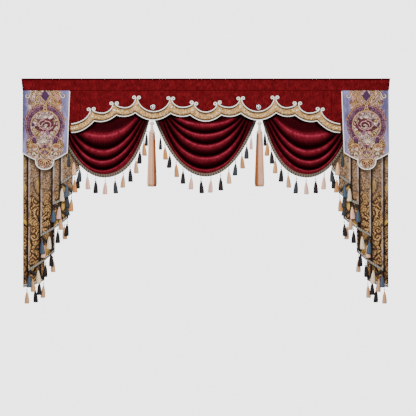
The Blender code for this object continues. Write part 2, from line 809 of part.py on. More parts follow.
def make_panel(name, parts, flip=False):
    shares = (0, 0.18, 0.42, 0.7, 1)
    lines = [[panel_point(x, share) for x in panel_places()] for share in shares]
    piping = panel_cord()
    if flip:
        lines = [mirrored(line) for line in lines]
        piping = mirrored(piping)
    sheet(f"side_panel_{name}", lines, CLOTH, parts, SATIN)
    cord(f"panel_piping_{name}", piping, CORD_RADIUS, parts, IVORY)


def main():
    clear_scene()
    parts = new_collection(NAME)
    cutters = new_collection("cutters")

    make_header(parts)
    make_pelmet(parts)
    make_band(parts)
    make_band_cords(parts)
    make_studs(parts)

    side_row = TasselRow()
    tail_rings = tail_tassels(side_row)
    side_rings = swag_tassels(SIDE_RIDGES[-1], SIDE_BRAID, SIDE_TASSELS, side_row)
    middle_rings = swag_tassels(MIDDLE_RIDGES[-1], MIDDLE_BRAID, MIDDLE_TASSELS,
                                TasselRow())
    make_swag("middle", MIDDLE_FLAT, MIDDLE_RIDGES, parts)
    make_swag_fringe("middle", braid_lines(MIDDLE_RIDGES[-1], MIDDLE_BRAID), middle_rings,
                     parts, cutters)
    for name, flip in (("left", False), ("right", True)):
        make_swag(name, SIDE_FLAT, SIDE_RIDGES, parts, flip)
        make_swag_fringe(name, braid_lines(SIDE_RIDGES[-1], SIDE_BRAID), side_rings,
                         parts, cutters, flip)
        make_tail(name, tail_rings, parts, cutters, flip)
        make_panel(name, parts, flip)
    make_big_tassel("left", BIG_TASSEL_X, parts, cutters)
    make_big_tassel("right", -BIG_TASSEL_X, parts, cutters)


main()
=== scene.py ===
"""Looks of a swag and tail drape: velvet, satin, jacquard, brocade, cords and tassels.

World axes: X to the right, Y towards the wall, +Z up. Sizes in the tables are
millimetres: x from the middle, drop below the top edge, and out from the wall. The left
half is given, and the right half mirrors it.
"""
import math
import random
from collections import namedtuple

import bmesh
import bpy
from mathutils import Matrix, Vector, noise


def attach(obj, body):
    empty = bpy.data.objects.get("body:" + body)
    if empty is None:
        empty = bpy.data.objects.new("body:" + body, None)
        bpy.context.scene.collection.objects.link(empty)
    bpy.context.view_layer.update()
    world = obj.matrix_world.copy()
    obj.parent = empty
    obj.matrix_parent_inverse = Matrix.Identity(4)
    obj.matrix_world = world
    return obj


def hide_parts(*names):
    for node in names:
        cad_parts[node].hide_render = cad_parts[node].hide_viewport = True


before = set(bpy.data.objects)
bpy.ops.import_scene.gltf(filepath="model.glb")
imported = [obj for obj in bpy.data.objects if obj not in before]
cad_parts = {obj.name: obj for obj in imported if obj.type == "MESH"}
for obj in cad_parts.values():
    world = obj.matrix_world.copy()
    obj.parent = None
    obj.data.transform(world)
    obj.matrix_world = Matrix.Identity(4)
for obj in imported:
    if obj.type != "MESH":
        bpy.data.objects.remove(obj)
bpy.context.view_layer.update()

MM = 0.001
BODY = "root"
SEAM_GAP = 0.3

# Header, pelmet, band and cords
HEADER_HALF_TOP = 1103
HEADER_HALF_FOOT = 1095
HEADER_HEIGHT = 73
HEADER_DEPTH = 33.1
HEADER_CLOTH = 2.5
HEADER_BEND = 5
HEADER_COLUMNS = 221
TUCK_DROP = 2.8
CLOTH = 2.0
TAIL_CLOTH = 1.5
TAIL_BACK_OUT = 3.55
HANG_OUT = 24.5
PELMET_OUT = 27.0
SEAM_X = 752
PANEL_OUT = 29.3
BAND_HALF = 808
BAND_OUT = 29.3
BAND_CROWN = 1.1
CORD_RADIUS = 3.5
CORD_OUT = 34.1
CORD_HALF = 803
SCROLL_RADIUS = 10.5
SCROLL_END_RADIUS = 3.6
SCROLL_TURN = math.radians(385)
SCROLL_POINTS = 34
SCALLOP_POWER = 1.9
CORD_STEP = 1.6
CORD_PITCH = 15
ROPE_GROOVE = 0.5           # what is left of a rope's radius between its strands
EDGE_POINTS = 36
CORD_POINTS = 70

Cusp = namedtuple("Cusp", "x drop dip_to_next")
CUSPS = [Cusp(*row) for row in (
    (-824, 321, 26), (-666, 254, 19), (-534, 220, 15), (-421, 206, 42.5), (-210, 209, 14.6),
    (-93, 219, 38), (93, 219, 0))]
Scallop = namedtuple("Scallop", "left_x left_drop right_x right_drop low_drop")
END_SCALLOP = Scallop(-930, 200, -700, 188, 274)
SCALLOPS = [Scallop(*row) for row in (
    (-668, 185, -565, 152, 209), (-530, 151, -429, 116, 177), (-398, 117, -224, 121, 200),
    (-194, 123, -85, 146, 175))]
MIDDLE_SCALLOP = Scallop(-56, 154, 56, 154, 203)
PEARLS = ((-783, 299), (-677, 229), (-544, 193), (-418, 173), (-205, 173), (-82, 192))
PEARL_RADIUS = 5.2
STUD_X = 316.5
STUD_OUT = PELMET_OUT + 2.7
STUD_DROP = 173

# Swags: a row for each ridge, from the flat top to the foot of the braid
Ridge = namedtuple("Ridge", "left_top left_x left_drop low_x low_drop "
                            "right_x right_drop right_top full_left full_right out")
MIDDLE_FLAT = (
    Ridge(-160, -140, 3, 0, 3, 140, 3, 160, 1, 1, HANG_OUT),
    Ridge(-175, -170, 110, 0, 120, 170, 110, 175, 1, 1, HANG_OUT),
    Ridge(-190, -188, 195, 0, 232, 188, 195, 190, 1, 1, HANG_OUT),
)
MIDDLE_RIDGES = (
    Ridge(-205, -203, 218, 3, 279, 203, 218, 205, 1.5, 1.5, 54),
    Ridge(-222, -221, 226, -3, 341, 221, 226, 222, 1.5, 1.5, 68),
    Ridge(-238, -237, 231, 4, 407, 237, 231, 238, 1.5, 1.5, 77),
    Ridge(-255, -253, 236, -2, 481, 253, 236, 255, 2.4, 2.4, 80),
    Ridge(-272, -268, 240, 2, 551, 268, 240, 272, 2.4, 2.4, 73),
    Ridge(-290, -291, 243, 0, 570, 291, 243, 290, 1.6, 1.6, 62),
)
MIDDLE_BRAID = Ridge(-309, -309, 243, 0, 589, 309, 243, 309, 1.5, 1.5, 58)
SIDE_FLAT = (
    Ridge(-700, -690, 3, -600, 3, -480, 3, -470, 1, 1, HANG_OUT),
    Ridge(-730, -727, 120, -600, 130, -457, 110, -452, 1, 1, HANG_OUT),
    Ridge(-755, -758, 272, -605, 246, -438, 190, -432, 1, 1, HANG_OUT),
)
SIDE_RIDGES = (
    Ridge(-780, -778, 300, -616, 345, -398, 226, -397, 1.4, 1.0, 62),
    Ridge(-800, -800, 316, -610, 438, -381, 235, -380, 1.5, 1.0, 75),
    Ridge(-818, -818, 323, -615, 501, -366, 241, -365, 1.5, 1.5, 80),
    Ridge(-835, -836, 328, -616, 557, -354, 245, -354, 1.5, 2.0, 73),
    Ridge(-850, -850, 330, -606, 576, -346, 246, -346, 1.5, 2.6, 62),
)
SIDE_BRAID = Ridge(-866, -866, 330, -604, 595, -336, 246, -336, 1.5, 2.8, 58)

FOLD_DEPTH = 46
FOLD_OPENING = 0.35         # the power by which a fold opens from its end to its middle
VALLEY_SHARE = 0.78         # where a fold is deepest, as a share of the way to the next ridge
PLEAT_DEPTH = 10            # what is left of a fold where it meets the band
PLEATS_FROM_X = 745         # pleats sink behind the band only nearer the middle than this,
PLEATS_FULL_X = 700         # and fully only from here
CREASE_OUT = 1.6            # how much a fold is uneven, out from the wall and in its drop
CREASE_DROP = 2.5
SWAG_COLUMNS = 91
LEG_COLUMNS = 5
FLAT_ROWS = 9
ROWS_PER_FOLD = 15
HEM_ROWS = 6
COARSE_COLUMNS = 13         # columns of the solid braid that the tassels hang from
FRINGE_ROOT = 0.7
BRAID_TILT = 0.1
BRAID_TILT_DROP = 332

# How a swag comes out below the band: the places beside a point whose edge counts too, the
# slope, the clearance under the edge, and what the swag's ends add to that clearance
Limit = namedtuple("Limit", "asides slope clearance end_clearance")
CLOTH_LIMIT = Limit((-24, -12, 0, 12, 24), 1.2, 3, 10)
BRAID_LIMIT = Limit((-45, -30, -15, 0, 15, 30, 45), 1.4, 6, 18)
# How it stays behind the inner edge of the side panel
PANEL_EDGE_X = 822
PANEL_EDGE_SLOPE = 0.9
PANEL_CLEARANCE = 5.5

# Tails
Fold = namedtuple("Fold", "x hem_drop")
TAIL_FOLDS = [Fold(*row) for row in (
    (-1096, 1252), (-966, 1208), (-1062, 1154), (-903, 1039), (-988, 947), (-821, 836),
    (-914, 757), (-795, 688), (-865, 633), (-755, 547))]
TAIL_PITCH = 2.1
TAIL_SPREAD = 0.008
SPREAD_DROP = 390
TURN_INSET = 2.0
TAIL_BELLY = 8
TAIL_BRAID = 16
RIPPLE = 7
RIPPLE_LENGTH = 118
LAYER_COLUMNS = 25
TURN_COLUMNS = 6

# Small tassels of a tail, by the layer that they hang from: x and dye
TAIL_TASSELS = {
    1: ((-1072, "beige"), (-1022, "black"), (-972, "beige")),
    2: ((-1036, "beige"), (-996, "black")),
    3: ((-1053, "steel"), (-1002, "cream"), (-957, "black"), (-914, "beige")),
    4: ((-923, "black"), (-966, "rose")),
    5: ((-978, "steel"), (-931, "cream"), (-883, "black"), (-845, "beige"), (-826, "black")),
    6: ((-867, "beige"),),
    7: ((-908, "steel"), (-872, "rose"), (-829, "slate"), (-801, "amber")),
    8: ((-826, "slate"),),
    9: ((-858, "cream"), (-826, "steel"), (-783, "amber"), (-763, "black")),
}
# Dyes of the swags' small tassels, from left to right
MIDDLE_DYES = ("black amber black amber black rose black rose black peach slate amber slate "
               "rose").split()
SIDE_DYES = ("slate peach slate rose black rose slate beige black beige black amber "
             "black").split()
# Shares of the braid before the first tassel and after the last one
BARE_ENDS = {len(MIDDLE_DYES): (0.091, 0.088), len(SIDE_DYES): (0.118, 0.062)}

UNDYED = (1.0, 1.0, 1.0)
BEAD_DYE = (0.5, 0.5, 0.5)  # stands in for a bead's colour until its tassel is hung
CORD_DYE = (0.060, 0.040, 0.030)
HEAD_CREAM = (0.93, 0.80, 0.60)
BLACK_BEAD = (0.012, 0.011, 0.012)
BROWN_BEAD = (0.10, 0.035, 0.025)
DYES = {
    "black": (0.0075, 0.0080, 0.0100),
    "slate": (0.026, 0.036, 0.044),
    "steel": (0.055, 0.088, 0.130),
    "beige": (0.60, 0.32, 0.155),
    "amber": (0.56, 0.24, 0.075),
    "peach": (0.84, 0.46, 0.240),
    "cream": (0.88, 0.68, 0.46),
    "rose": (0.84, 0.47, 0.36),
    # A darker brown used only as painted shade on a big tassel's side towards the middle.
    "orange_shade": (0.30, 0.092, 0.024),
    "blush": (0.86, 0.39, 0.24),
}

# The solid small tassel, which the dressed ones keep to: shares of its length, half width
# and half depth
Ring = namedtuple("Ring", "share half_width half_depth")
SMALL_TASSEL = (Ring(0.0, 1.5, 1.5), Ring(0.28, 1.5, 1.5), Ring(0.35, 5.0, 4.0),
                Ring(1.0, 13.0, 6.0))
SMALL_TASSEL_LENGTH = 111
TASSEL_PATTERN = 104        # length of the one that is copied
TASSEL_LEAN = 0.05
TASSEL_FLATNESS = 0.6       # its depth as a share of its width
CUT_THREADS = 26
LOOSE_THREADS = 15
TASSEL_CLEARANCE = 1.0
END_TASSEL_WIDTH = 0.7
Tassel = namedtuple("Tassel", "x out drop centre length width dye")
FREE_SPACE = 14             # behind the braid of a swag, where no tassel hangs

BIG_TASSEL_X = -321
BIG_TASSEL_OUT = 36
SKIRT_THREADS = 96

# Side panels
PANEL_OUTER_X = -1092
PANEL_INNER_TOP = -811
PANEL_INNER_FOOT = -826
PANEL_SIDE_DROP = 446
PANEL_SHOULDER_DROP = 487
PANEL_LOBE_X = -960
PANEL_LOBE_HALF = 53
PANEL_LOBE_DROP = 501
PANEL_LOBE_DEPTH = 45
SHOULDER_POWER = 1.25
LOBE_COLUMNS = 14
SHOULDER_COLUMNS = 11
CORNER = 1.5                # from the lobe to the first column of a shoulder
PANEL_LEAN = 0.05
LEAN_DROP = 100
PANEL_WAVE = 2.0
PANEL_WAVE_LENGTH = 42
PANEL_WAVE_DROP = 400

BRAID_DYE = (0.090, 0.068, 0.046)
# The light one is a painted highlight on the upper cord of a swag's braid. The dark one is near
# black: the braid on the back of a tail, and painted shade on the lower cord of a swag's braid and
# at the braid's ends.
BRAID_PAINTED_HIGHLIGHT = (0.24, 0.19, 0.14)
BRAID_DARK = (0.011, 0.010, 0.010)
TAIL_BRAID_DYE = (0.21, 0.20, 0.17)

# Silks of the medallions
SILKS = {
    "gold": (0.66, 0.39, 0.14),
    "cream": (0.86, 0.70, 0.54),
    "plum": (0.060, 0.018, 0.075),
    "mauve": (0.22, 0.10, 0.17),
    "burgundy": (0.120, 0.014, 0.028),
    "pink": (0.60, 0.29, 0.29),
    "green": (0.26, 0.22, 0.06),
    "terracotta": (0.36, 0.11, 0.045),
    "umber": (0.030, 0.009, 0.010),
}
WREATH_DROP = 281
WREATH_RADII = (116, 119)
WREATH_START = -232         # degrees: the wreath is open at its foot
WREATH_END = 52
LEAF_RING = 0.855           # where the wreath's leaves lie, as a share of its radii
OUTLINE = 5.0               # what a dark edge adds to the width of a stitched line

# Woven patterns, in metres
LEAF_REPEAT = (0.150, 0.190)
WOVEN_RADII = (0.116, 0.122)    # the field of the medallion

# Studio, in metres
FLOOR_RADIUS = 2.1
FLOOR_Z = -2.4
CAMERA_DISTANCE = 8.0
VIEW_WIDTH = 2.496
VIEW_X = 0.0135
VIEW_Z = -0.7758
KEY_POWER = 210
FILL_POWER = 60
SKY_LIGHT = 0.45
SKY_SEEN = 3.4


def point(x, out, drop):
    """A place from its x, its distance out from the wall and its drop, in millimetres."""
    return Vector((x, -out, -drop)) * MM


def between(first, second, share):
    """The value, or the row of values, at a share of the way from first to second."""
    if isinstance(first, tuple):
        row = [between(a, b, share) for a, b in zip(first, second)]
        return type(first)(*row) if hasattr(first, "_fields") else tuple(row)
    return first + (second - first) * share


def smooth(low, high, value):
    """0 at low, 1 at high, and a soft step between. Low may be above high."""
    share = min(1, max(0, (value - low) / (high - low)))
    return share * share * (3 - 2 * share)


def steps(count):
    """Shares from 0 to 1 in equal steps, both ends included."""
    return [k / (count - 1) for k in range(count)]


def round_point(radius, angle, drop):
    """A place at an angle round an upright axis through the origin."""
    return Vector((radius * math.cos(angle), radius * math.sin(angle), -drop)) * MM


def mirrored(points):
    return [Vector((-p.x, p.y, p.z)) for p in points]


def unevenness(x, drop, size, seed=0):
    """Soft noise from -1 to 1 that follows the cloth's place."""
    return noise.noise(Vector((x / size, drop / size, seed * 7.3)))


# -------- making pieces

def add_object(name, data):
    """A new object in the scene, at the origin."""
    made = bpy.data.objects.new(name, data)
    bpy.context.scene.collection.objects.link(made)
    return made


def mesh_from(name, bm):
    mesh = bpy.data.meshes.new(name)
    bm.to_mesh(mesh)
    bm.free()
    return mesh


def flip_mesh(bm):
    """Mirrors a whole bmesh to the other half of the drape."""
    bmesh.ops.scale(bm, vec=(-1, 1, 1), verts=bm.verts)
    bmesh.ops.reverse_faces(bm, faces=bm.faces)


def finish_piece(name, bm, finishes, nodes=(), flip=False, closed=True):
    """Turns a bmesh into a finished piece of the object. finishes are names of materials."""
    if flip:
        flip_mesh(bm)
    if closed:
        bmesh.ops.recalc_face_normals(bm, faces=bm.faces)
    mesh = mesh_from(f"{name}_look", bm)
    for finish in finishes:
        mesh.materials.append(FINISHES[finish])
    mesh.shade_smooth()
    made = add_object(f"{name}_look", mesh)
    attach(made, BODY)
    if nodes:
        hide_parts(*nodes)
    return made


def skin(bm, rows, uvs, colour=UNDYED, painted_shadings=None, closed=False, finish=0):
    """Faces through rows of points. Every point has a UV, a dye and a value of painted shade,
    which below 0 is a painted highlight.
    colour is one dye, or one for each row, and finish is the number of its material."""
    dye = bm.verts.layers.float_color.get("dye") or bm.verts.layers.float_color.new("dye")
    deep = bm.verts.layers.float.get("deep") or bm.verts.layers.float.new("deep")
    uv_layer = bm.loops.layers.uv.verify()
    columns = len(rows[0])
    grid = bmesh.ops.create_grid(bm, x_segments=columns - 1, y_segments=len(rows) - 1, size=1)
    for index, vert in enumerate(grid["verts"]):
        row, column = divmod(index, columns)
        vert.co = rows[row][column]
        vert[dye] = (*(colour[row] if isinstance(colour, list) else colour), 1)
        vert[deep] = painted_shadings[row][column] if painted_shadings else 0
        for loop in vert.link_loops:
            loop[uv_layer].uv = uvs[row][column]
            loop.face.material_index = finish
    if closed:
        bmesh.ops.remove_doubles(bm, verts=grid["verts"], dist=1e-7)


def run_lengths(line):
    """The length of a line up to each of its points."""
    runs = [0.0]
    for first, second in zip(line, line[1:]):
        runs.append(runs[-1] + (second - first).length)
    return runs


def lay_out(rows, columns, place):
    """Lines of points and the painted shade of each point, from a function of a row and a column
    that gives both.
    """
    made = [[place(row, column) for column in columns] for row in rows]
    return ([[spot for spot, deep in line] for line in made],
            [[deep for spot, deep in line] for line in made])


def sheet(name, lines, thickness, finish, painted_shadings=None, flip=False):
    """One sheet of cloth with its thickness. Its UVs are real lengths on the cloth in metres."""
    if flip:
        lines = [mirrored(line) for line in lines]
    uvs = []
    down = [0.0] * len(lines[0])
    for index, line in enumerate(lines):
        if index:
            down = [length + (b - a).length for length, a, b in zip(down, lines[index - 1], line)]
        runs = run_lengths(line)
        uvs.append([(run - runs[-1] / 2, -length) for run, length in zip(runs, down)])
    bm = bmesh.new()
    skin(bm, lines, uvs, painted_shadings=painted_shadings)
    made = finish_piece(name, bm, [finish], [name], closed=False)
    solidify = made.modifiers.new("cloth", "SOLIDIFY")
    solidify.thickness = thickness * MM
    solidify.offset = 0
    solidify.use_even_offset = True
    return made


def tube(bm, path, radius, colour=UNDYED, sides=8, lobes=0, pitch=10.0):
    """A closed cord along a path. With lobes it is a rope of that many twisted strands.
    radius is a number, or a function of the share of the length, and colour is one dye or
    a list of them, one for each point."""
    runs = run_lengths(path)
    rings = []
    side = (path[1] - path[0]).orthogonal()
    for index, place in enumerate(path):
        ahead = (path[min(index + 1, len(path) - 1)] - path[max(index - 1, 0)]).normalized()
        side = (side - ahead * side.dot(ahead)).normalized()
        up = ahead.cross(side)
        size = radius(runs[index] / runs[-1]) if callable(radius) else radius
        twist = runs[index] / (pitch * MM)
        ring = []
        for k in range(sides + 1):
            angle = 2 * math.pi * (k % sides) / sides
            phase = ((k % sides) / sides - twist) * lobes % 1
            strand = between(1, ROPE_GROOVE, abs(2 * phase - 1) ** 1.6) if lobes else 1
            reach = size * MM * strand
            ring.append(place + (side * math.cos(angle) + up * math.sin(angle)) * reach)
        rings.append(ring)
    rings = [[path[0]] * (sides + 1), *rings, [path[-1]] * (sides + 1)]
    uvs = [[(k / sides, run) for k in range(sides + 1)] for run in (0, *runs, runs[-1])]
    dyes = [colour[0], *colour, colour[-1]] if isinstance(colour, list) else colour
    skin(bm, rings, uvs, dyes, closed=True)


def turned(bm, profile, sides, place, colour=UNDYED, ripple=None):
    """A closed turned shape from pairs of radius and drop, top to bottom. place is its matrix,
    and ripple, from the shares of the turn and of the profile, scales its radius."""
    rings = []
    uvs = []
    for row, (radius, drop) in enumerate(profile):
        ring = []
        for k in range(sides + 1):
            turn = (k % sides) / sides
            reach = radius * (ripple(turn, row / (len(profile) - 1)) if ripple else 1) * MM
            angle = 2 * math.pi * turn
            ring.append(place @ Vector((reach * math.cos(angle), reach * math.sin(angle),
                                        -drop * MM)))
        rings.append(ring)
        uvs.append([(k / sides, -drop * MM) for k in range(sides + 1)])
    skin(bm, rings, uvs, colour, closed=True)


def ribbon(bm, upper, lower, thickness, colours):
    """A flat closed braid, slightly domed, between two lines of points. It has a dye for
    each point."""
    sides = 12

    def squared(value):
        return math.copysign(abs(value) ** 0.7, value)

    rings = []
    for above, below in zip(upper, lower):
        ring = []
        for k in range(sides + 1):
            angle = 2 * math.pi * (k % sides) / sides
            forward = squared(math.sin(angle)) * thickness / 2 * MM
            ring.append(above.lerp(below, 0.5 + squared(math.cos(angle)) / 2)
                        + Vector((0, forward, 0)))
        rings.append(ring)
    ends = [[upper[end].lerp(lower[end], 0.5)] * (sides + 1) for end in (0, -1)]
    rings = [ends[0], *rings, ends[1]]
    runs = run_lengths(upper)
    uvs = [[(abs(2 * k / sides - 1), run) for k in range(sides + 1)]
           for run in (0, *runs, runs[-1])]
    skin(bm, rings, uvs, [colours[0], *colours, colours[-1]], closed=True, finish=1)


# -------- outlines of the band

def lower_edge(x):
    """Drop of the band's lower edge, a shallow dip between each pair of cusps."""
    x = -abs(x)
    for cusp, following in zip(CUSPS, CUSPS[1:]):
        if x <= following.x:
            share = (x - cusp.x) / (following.x - cusp.x)
            dip = 4 * cusp.dip_to_next * share * (1 - share)
            return between(cusp.drop, following.drop, share) + dip
    return CUSPS[-1].drop


def scallop_ends(scallop):
    """x of both ends of one U, on the outer sides of its scrolls."""
    return scallop.left_x - SCROLL_RADIUS, scallop.right_x + SCROLL_RADIUS


def scallop_drop(scallop, x):
    """Drop of one U of the upper edge."""
    left, right = scallop_ends(scallop)
    side = 2 * (x - left) / (right - left) - 1
    top = scallop.left_drop if side < 0 else scallop.right_drop
    rise = 1 - max(0.0, 1 - abs(side) ** SCALLOP_POWER) ** (1 / SCALLOP_POWER)
    return between(scallop.low_drop, top, rise)


def scallop_places(scallop, count):
    """x places along one U, closer together where it rises."""
    left, right = scallop_ends(scallop)
    return [between(left, right, 0.5 - 0.5 * math.cos(math.pi * k / count))
            for k in range(count + 1)]


def both_halves(places):
    """x places of the left half in order, the middle, and their mirror images."""
    left = sorted(x for x in places if x < 0)
    return left + [0] + [-x for x in reversed(left)]


def cusp_places(count):
    """x places in equal steps between each cusp of the lower edge and the next."""
    return [between(cusp.x, following.x, share)
            for cusp, following in zip(CUSPS, CUSPS[1:]) for share in steps(count)[:-1]]


def band_columns():
    """Columns of the band: x and the drop of its upper edge."""
    left = [(-BAND_HALF, scallop_drop(END_SCALLOP, -BAND_HALF))]
    for scallop in (END_SCALLOP, *SCALLOPS, MIDDLE_SCALLOP):
        left += [(x, scallop_drop(scallop, x)) for x in scallop_places(scallop, EDGE_POINTS)
                 if -BAND_HALF < x < -0.01]
    middle = (0, MIDDLE_SCALLOP.low_drop)
    return left + [middle] + [(-x, upper) for x, upper in reversed(left)]


def upper_edge(x, columns):
    """Drop of the band's upper edge at any x. Past the band's ends it stays level."""
    x = max(-BAND_HALF, min(BAND_HALF, x))
    for (first_x, first), (second_x, second) in zip(columns, columns[1:]):
        if first_x <= x <= second_x and second_x > first_x:
            return between(first, second, (x - first_x) / (second_x - first_x))
    return columns[0][1]


def scroll(centre_x, centre_drop, side):
    """The curl of a cord, from its end in the middle out to the U. side -1 is left."""
    places = []
    for k in range(SCROLL_POINTS, 0, -1):
        turn = SCROLL_TURN * k / SCROLL_POINTS
        radius = between(SCROLL_RADIUS, SCROLL_END_RADIUS, k / SCROLL_POINTS)
        places.append((centre_x + side * radius * math.cos(turn),
                       centre_drop - radius * math.sin(turn)))
    return places


def scallop_cord(scallop):
    """Points of the cord of one U with its scrolls, at even steps. The end one has no scroll
    at its outer end, where it goes into the seam."""
    flat = [(x, scallop_drop(scallop, x)) for x in scallop_places(scallop, CORD_POINTS)
            if x > -CORD_HALF]
    if scallop is END_SCALLOP:
        flat.insert(0, (-CORD_HALF, scallop_drop(scallop, -CORD_HALF)))
    else:
        flat = scroll(scallop.left_x, scallop.left_drop, -1) + flat
    flat += reversed(scroll(scallop.right_x, scallop.right_drop, 1))
    return even_steps([point(x, CORD_OUT, drop) for x, drop in flat], CORD_STEP)


def even_steps(path, step):
    """The same path with points at even steps, in millimetres, along it."""
    runs = run_lengths(path)
    count = max(2, round(runs[-1] / (step * MM)))
    places = []
    index = 0
    for k in range(count + 1):
        wanted = runs[-1] * k / count
        while index < len(runs) - 2 and runs[index + 1] < wanted:
            index += 1
        stretch = runs[index + 1] - runs[index]
        places.append(path[index].lerp(path[index + 1], (wanted - runs[index]) / stretch))
    return places


# -------- where the layers hang

def tail_pitch(drop):
    """From one layer of a tail to the next. The layers spread towards the hem."""
    return TAIL_PITCH + TAIL_SPREAD * max(0, drop - SPREAD_DROP)


def wave(x, drop):
    """A soft wave that all the layers of a tail share, deeper towards the hem."""
    outer = TAIL_FOLDS[0]
    strength = max(0, drop - SPREAD_DROP) / (outer.hem_drop - SPREAD_DROP)
    return RIPPLE * strength * (0.5 - 0.5 * math.cos(2 * math.pi * (x - outer.x)
                                                     / RIPPLE_LENGTH))


def tail_out(layer, x, drop):
    """How far out a layer of a tail hangs. Layer 1 is at the back."""
    return TAIL_BACK_OUT + (layer - 1) * tail_pitch(drop) + wave(x, drop)


def panel_out(x, drop):
    """How far out a side panel hangs: it leans out over the tail, with a soft wave."""
    below = max(0, drop - LEAN_DROP)
    return (PANEL_OUT + PANEL_LEAN * below
            + PANEL_WAVE * math.sin((x - PANEL_OUTER_X) / PANEL_WAVE_LENGTH) * below
            / PANEL_WAVE_DROP)


def front_limit(x, drop, reach, limit):
    """A swag stays behind the band above its lower edge, and behind the side panel."""
    edge = max(lower_edge(x + aside) for aside in limit.asides)
    below = drop - edge - limit.clearance - limit.end_clearance * reach * reach
    below_band = HANG_OUT + limit.slope * max(0, below)
    behind_panel = (panel_out(-abs(x), drop) - PANEL_CLEARANCE
                    + PANEL_EDGE_SLOPE * max(0, PANEL_EDGE_X - abs(x)))
    return max(min(below_band, behind_panel), HANG_OUT)


# -------- swags

def smooth_row(rows, level):
    """A row between the rows of a table, on a smooth curve through them."""
    index = min(int(level), len(rows) - 2)
    t = level - index
    around = (rows[min(max(index + k, 0), len(rows) - 1)] for k in (-1, 0, 1, 2))
    return [b + 0.5 * t * (c - a + t * (2 * a - 5 * b + 4 * c - d
                                        + t * (3 * (b - c) + d - a)))
            for a, b, c, d in zip(*around)]


def line_place(ridge, turn):
    """A place on a hanging line of a swag. turn runs from -1, its left end, to 1. Gives x,
    drop, the reach from the low point, 1 at an end, and how far the fold is open there."""
    reach = abs(math.sin(math.pi / 2 * turn))
    end_x, end_drop, fullness = (
        (ridge.left_x, ridge.left_drop, ridge.full_left) if turn < 0
        else (ridge.right_x, ridge.right_drop, ridge.full_right))
    rise = (math.cosh(fullness * reach) - 1) / (math.cosh(fullness) - 1)
    return (between(ridge.low_x, end_x, reach), between(ridge.low_drop, end_drop, rise), reach,
            max(0, 1 - reach * reach) ** FOLD_OPENING)


def hanging_point(ridge, turn, set_back):
    """A point on a line of the cloth: x, out and drop. Pleats may sink behind the band, but
    not where the tail hangs."""
    x, drop, reach, fold = line_place(ridge, turn)
    front = HANG_OUT + (ridge.out - HANG_OUT) * fold
    front = min(front, front_limit(x, drop, reach, CLOTH_LIMIT))
    out = front - set_back * between(PLEAT_DEPTH, FOLD_DEPTH, fold)
    back = HANG_OUT - PLEAT_DEPTH * smooth(-PLEATS_FROM_X, -PLEATS_FULL_X, -abs(x))
    return x, max(out, min(front, back)), drop


def set_back_of(share):
    """Section of a rolled fold: how far set back the cloth is between two ridges."""
    near = share / VALLEY_SHARE if share < VALLEY_SHARE else (1 - share) / (1 - VALLEY_SHARE)
    near = min(1, max(0, near))
    return 0.5 * (1 - math.sqrt(1 - near * near)) + 0.5 * (0.5 - 0.5 * math.cos(math.pi * near))


def swag_line(ridge, set_back, crease):
    """A hanging line with its two pleats up to the header, and the painted shade of each point."""
    line = []
    painted_line_shading = []
    for k in range(SWAG_COLUMNS):
        turn = 2 * k / (SWAG_COLUMNS - 1) - 1
        x, out, drop = hanging_point(ridge, turn, set_back)
        loose = crease * math.sin(math.pi * k / (SWAG_COLUMNS - 1))
        out += loose * CREASE_OUT * unevenness(x, drop, 55)
        drop += loose * CREASE_DROP * unevenness(x, drop, 110, 1)
        line.append(point(x, out, drop))
        painted_line_shading.append(shade_at(line[-1], turn, set_back))
    left, right = ([point(top, HANG_OUT, TUCK_DROP).lerp(end, k / LEG_COLUMNS)
                    for k in range(LEG_COLUMNS)]
                   for top, end in ((ridge.left_top, line[0]), (ridge.right_top, line[-1])))
    return (left + line + right[::-1],
            painted_line_shading[:1] * LEG_COLUMNS + painted_line_shading + painted_line_shading[-1:] * LEG_COLUMNS)


def shade_at(place, turn, set_back):
    """How much painted shade darkens the velvet: in the valleys, as a painted shadow below the
    band, and where the pleats gather.
    """
    reach = abs(math.sin(math.pi / 2 * turn))
    edge = max(lower_edge(place.x / MM + aside) for aside in CLOTH_LIMIT.asides)
    painted_gather_shade = 0.32 * smooth(0.55, 1.0, reach)
    band_shadow = 1 - smooth(2, 16, -place.z / MM - edge)
    return min(1, max(set_back + painted_gather_shade, band_shadow))


def swag_lines(flat, ridges):
    """All the lines of a swag's cloth, from the header to the hem, and the painted shade on them.
    """
    rows = [*flat, *ridges]
    first = len(flat)
    hem = len(rows) - 2
    lines = []
    painted_shadings = []

    def lay(level, set_back=0, crease=0, out=None, shade=lambda deep: deep):
        ridge = Ridge(*smooth_row(rows, level))
        line, painted_line_shading = swag_line(ridge if out is None else ridge._replace(out=out), set_back,
                                crease)
        lines.append(line)
        painted_shadings.append([shade(deep) for deep in painted_line_shading])

    for share in steps(FLAT_ROWS):
        lay(share * (first - 1), out=HANG_OUT)
    # Painted shade over the flat cloth under the band, lifting as the cloth comes forward into the
    # first ridge.
    for share in steps(FLAT_ROWS)[1:]:
        forward = smooth(0.62, 1.0, share)
        lay(first - 1 + share, out=between(HANG_OUT, rows[first].out, forward),
            shade=lambda deep: max(0.50 * (1 - forward), deep - 0.15))
    for level in range(first, hem):
        for share in steps(ROWS_PER_FOLD + 1)[1:]:
            lay(level + share, set_back_of(share), math.sin(math.pi * share) ** 0.5)
    # Painted shade on the hem strip.
    for share in steps(HEM_ROWS + 1)[1:]:
        lay(hem + share, shade=lambda deep: min(1, deep + 0.16))
    return lines, painted_shadings


def braid_line(hem, foot, share, forward=0.0, columns=SWAG_COLUMNS):
    """A line along the braid of a swag, at a share of the way from the hem to its foot."""
    ridge = between(hem, foot, share)
    places = [braid_point(ridge, 2 * k / (columns - 1) - 1) for k in range(columns)]
    return [point(x, out + forward, drop) for x, out, drop in places]


def braid_point(ridge, turn):
    """A point on a line of the braid, which keeps clear of the band and the panel."""
    x, drop, reach, fold = line_place(ridge, turn)
    front = front_limit(x, drop, reach, BRAID_LIMIT)
    back = HANG_OUT + BRAID_TILT * max(0, drop - BRAID_TILT_DROP)
    return x, min(max(HANG_OUT + (ridge.out - HANG_OUT) * fold, back), front), drop


# -------- tassels

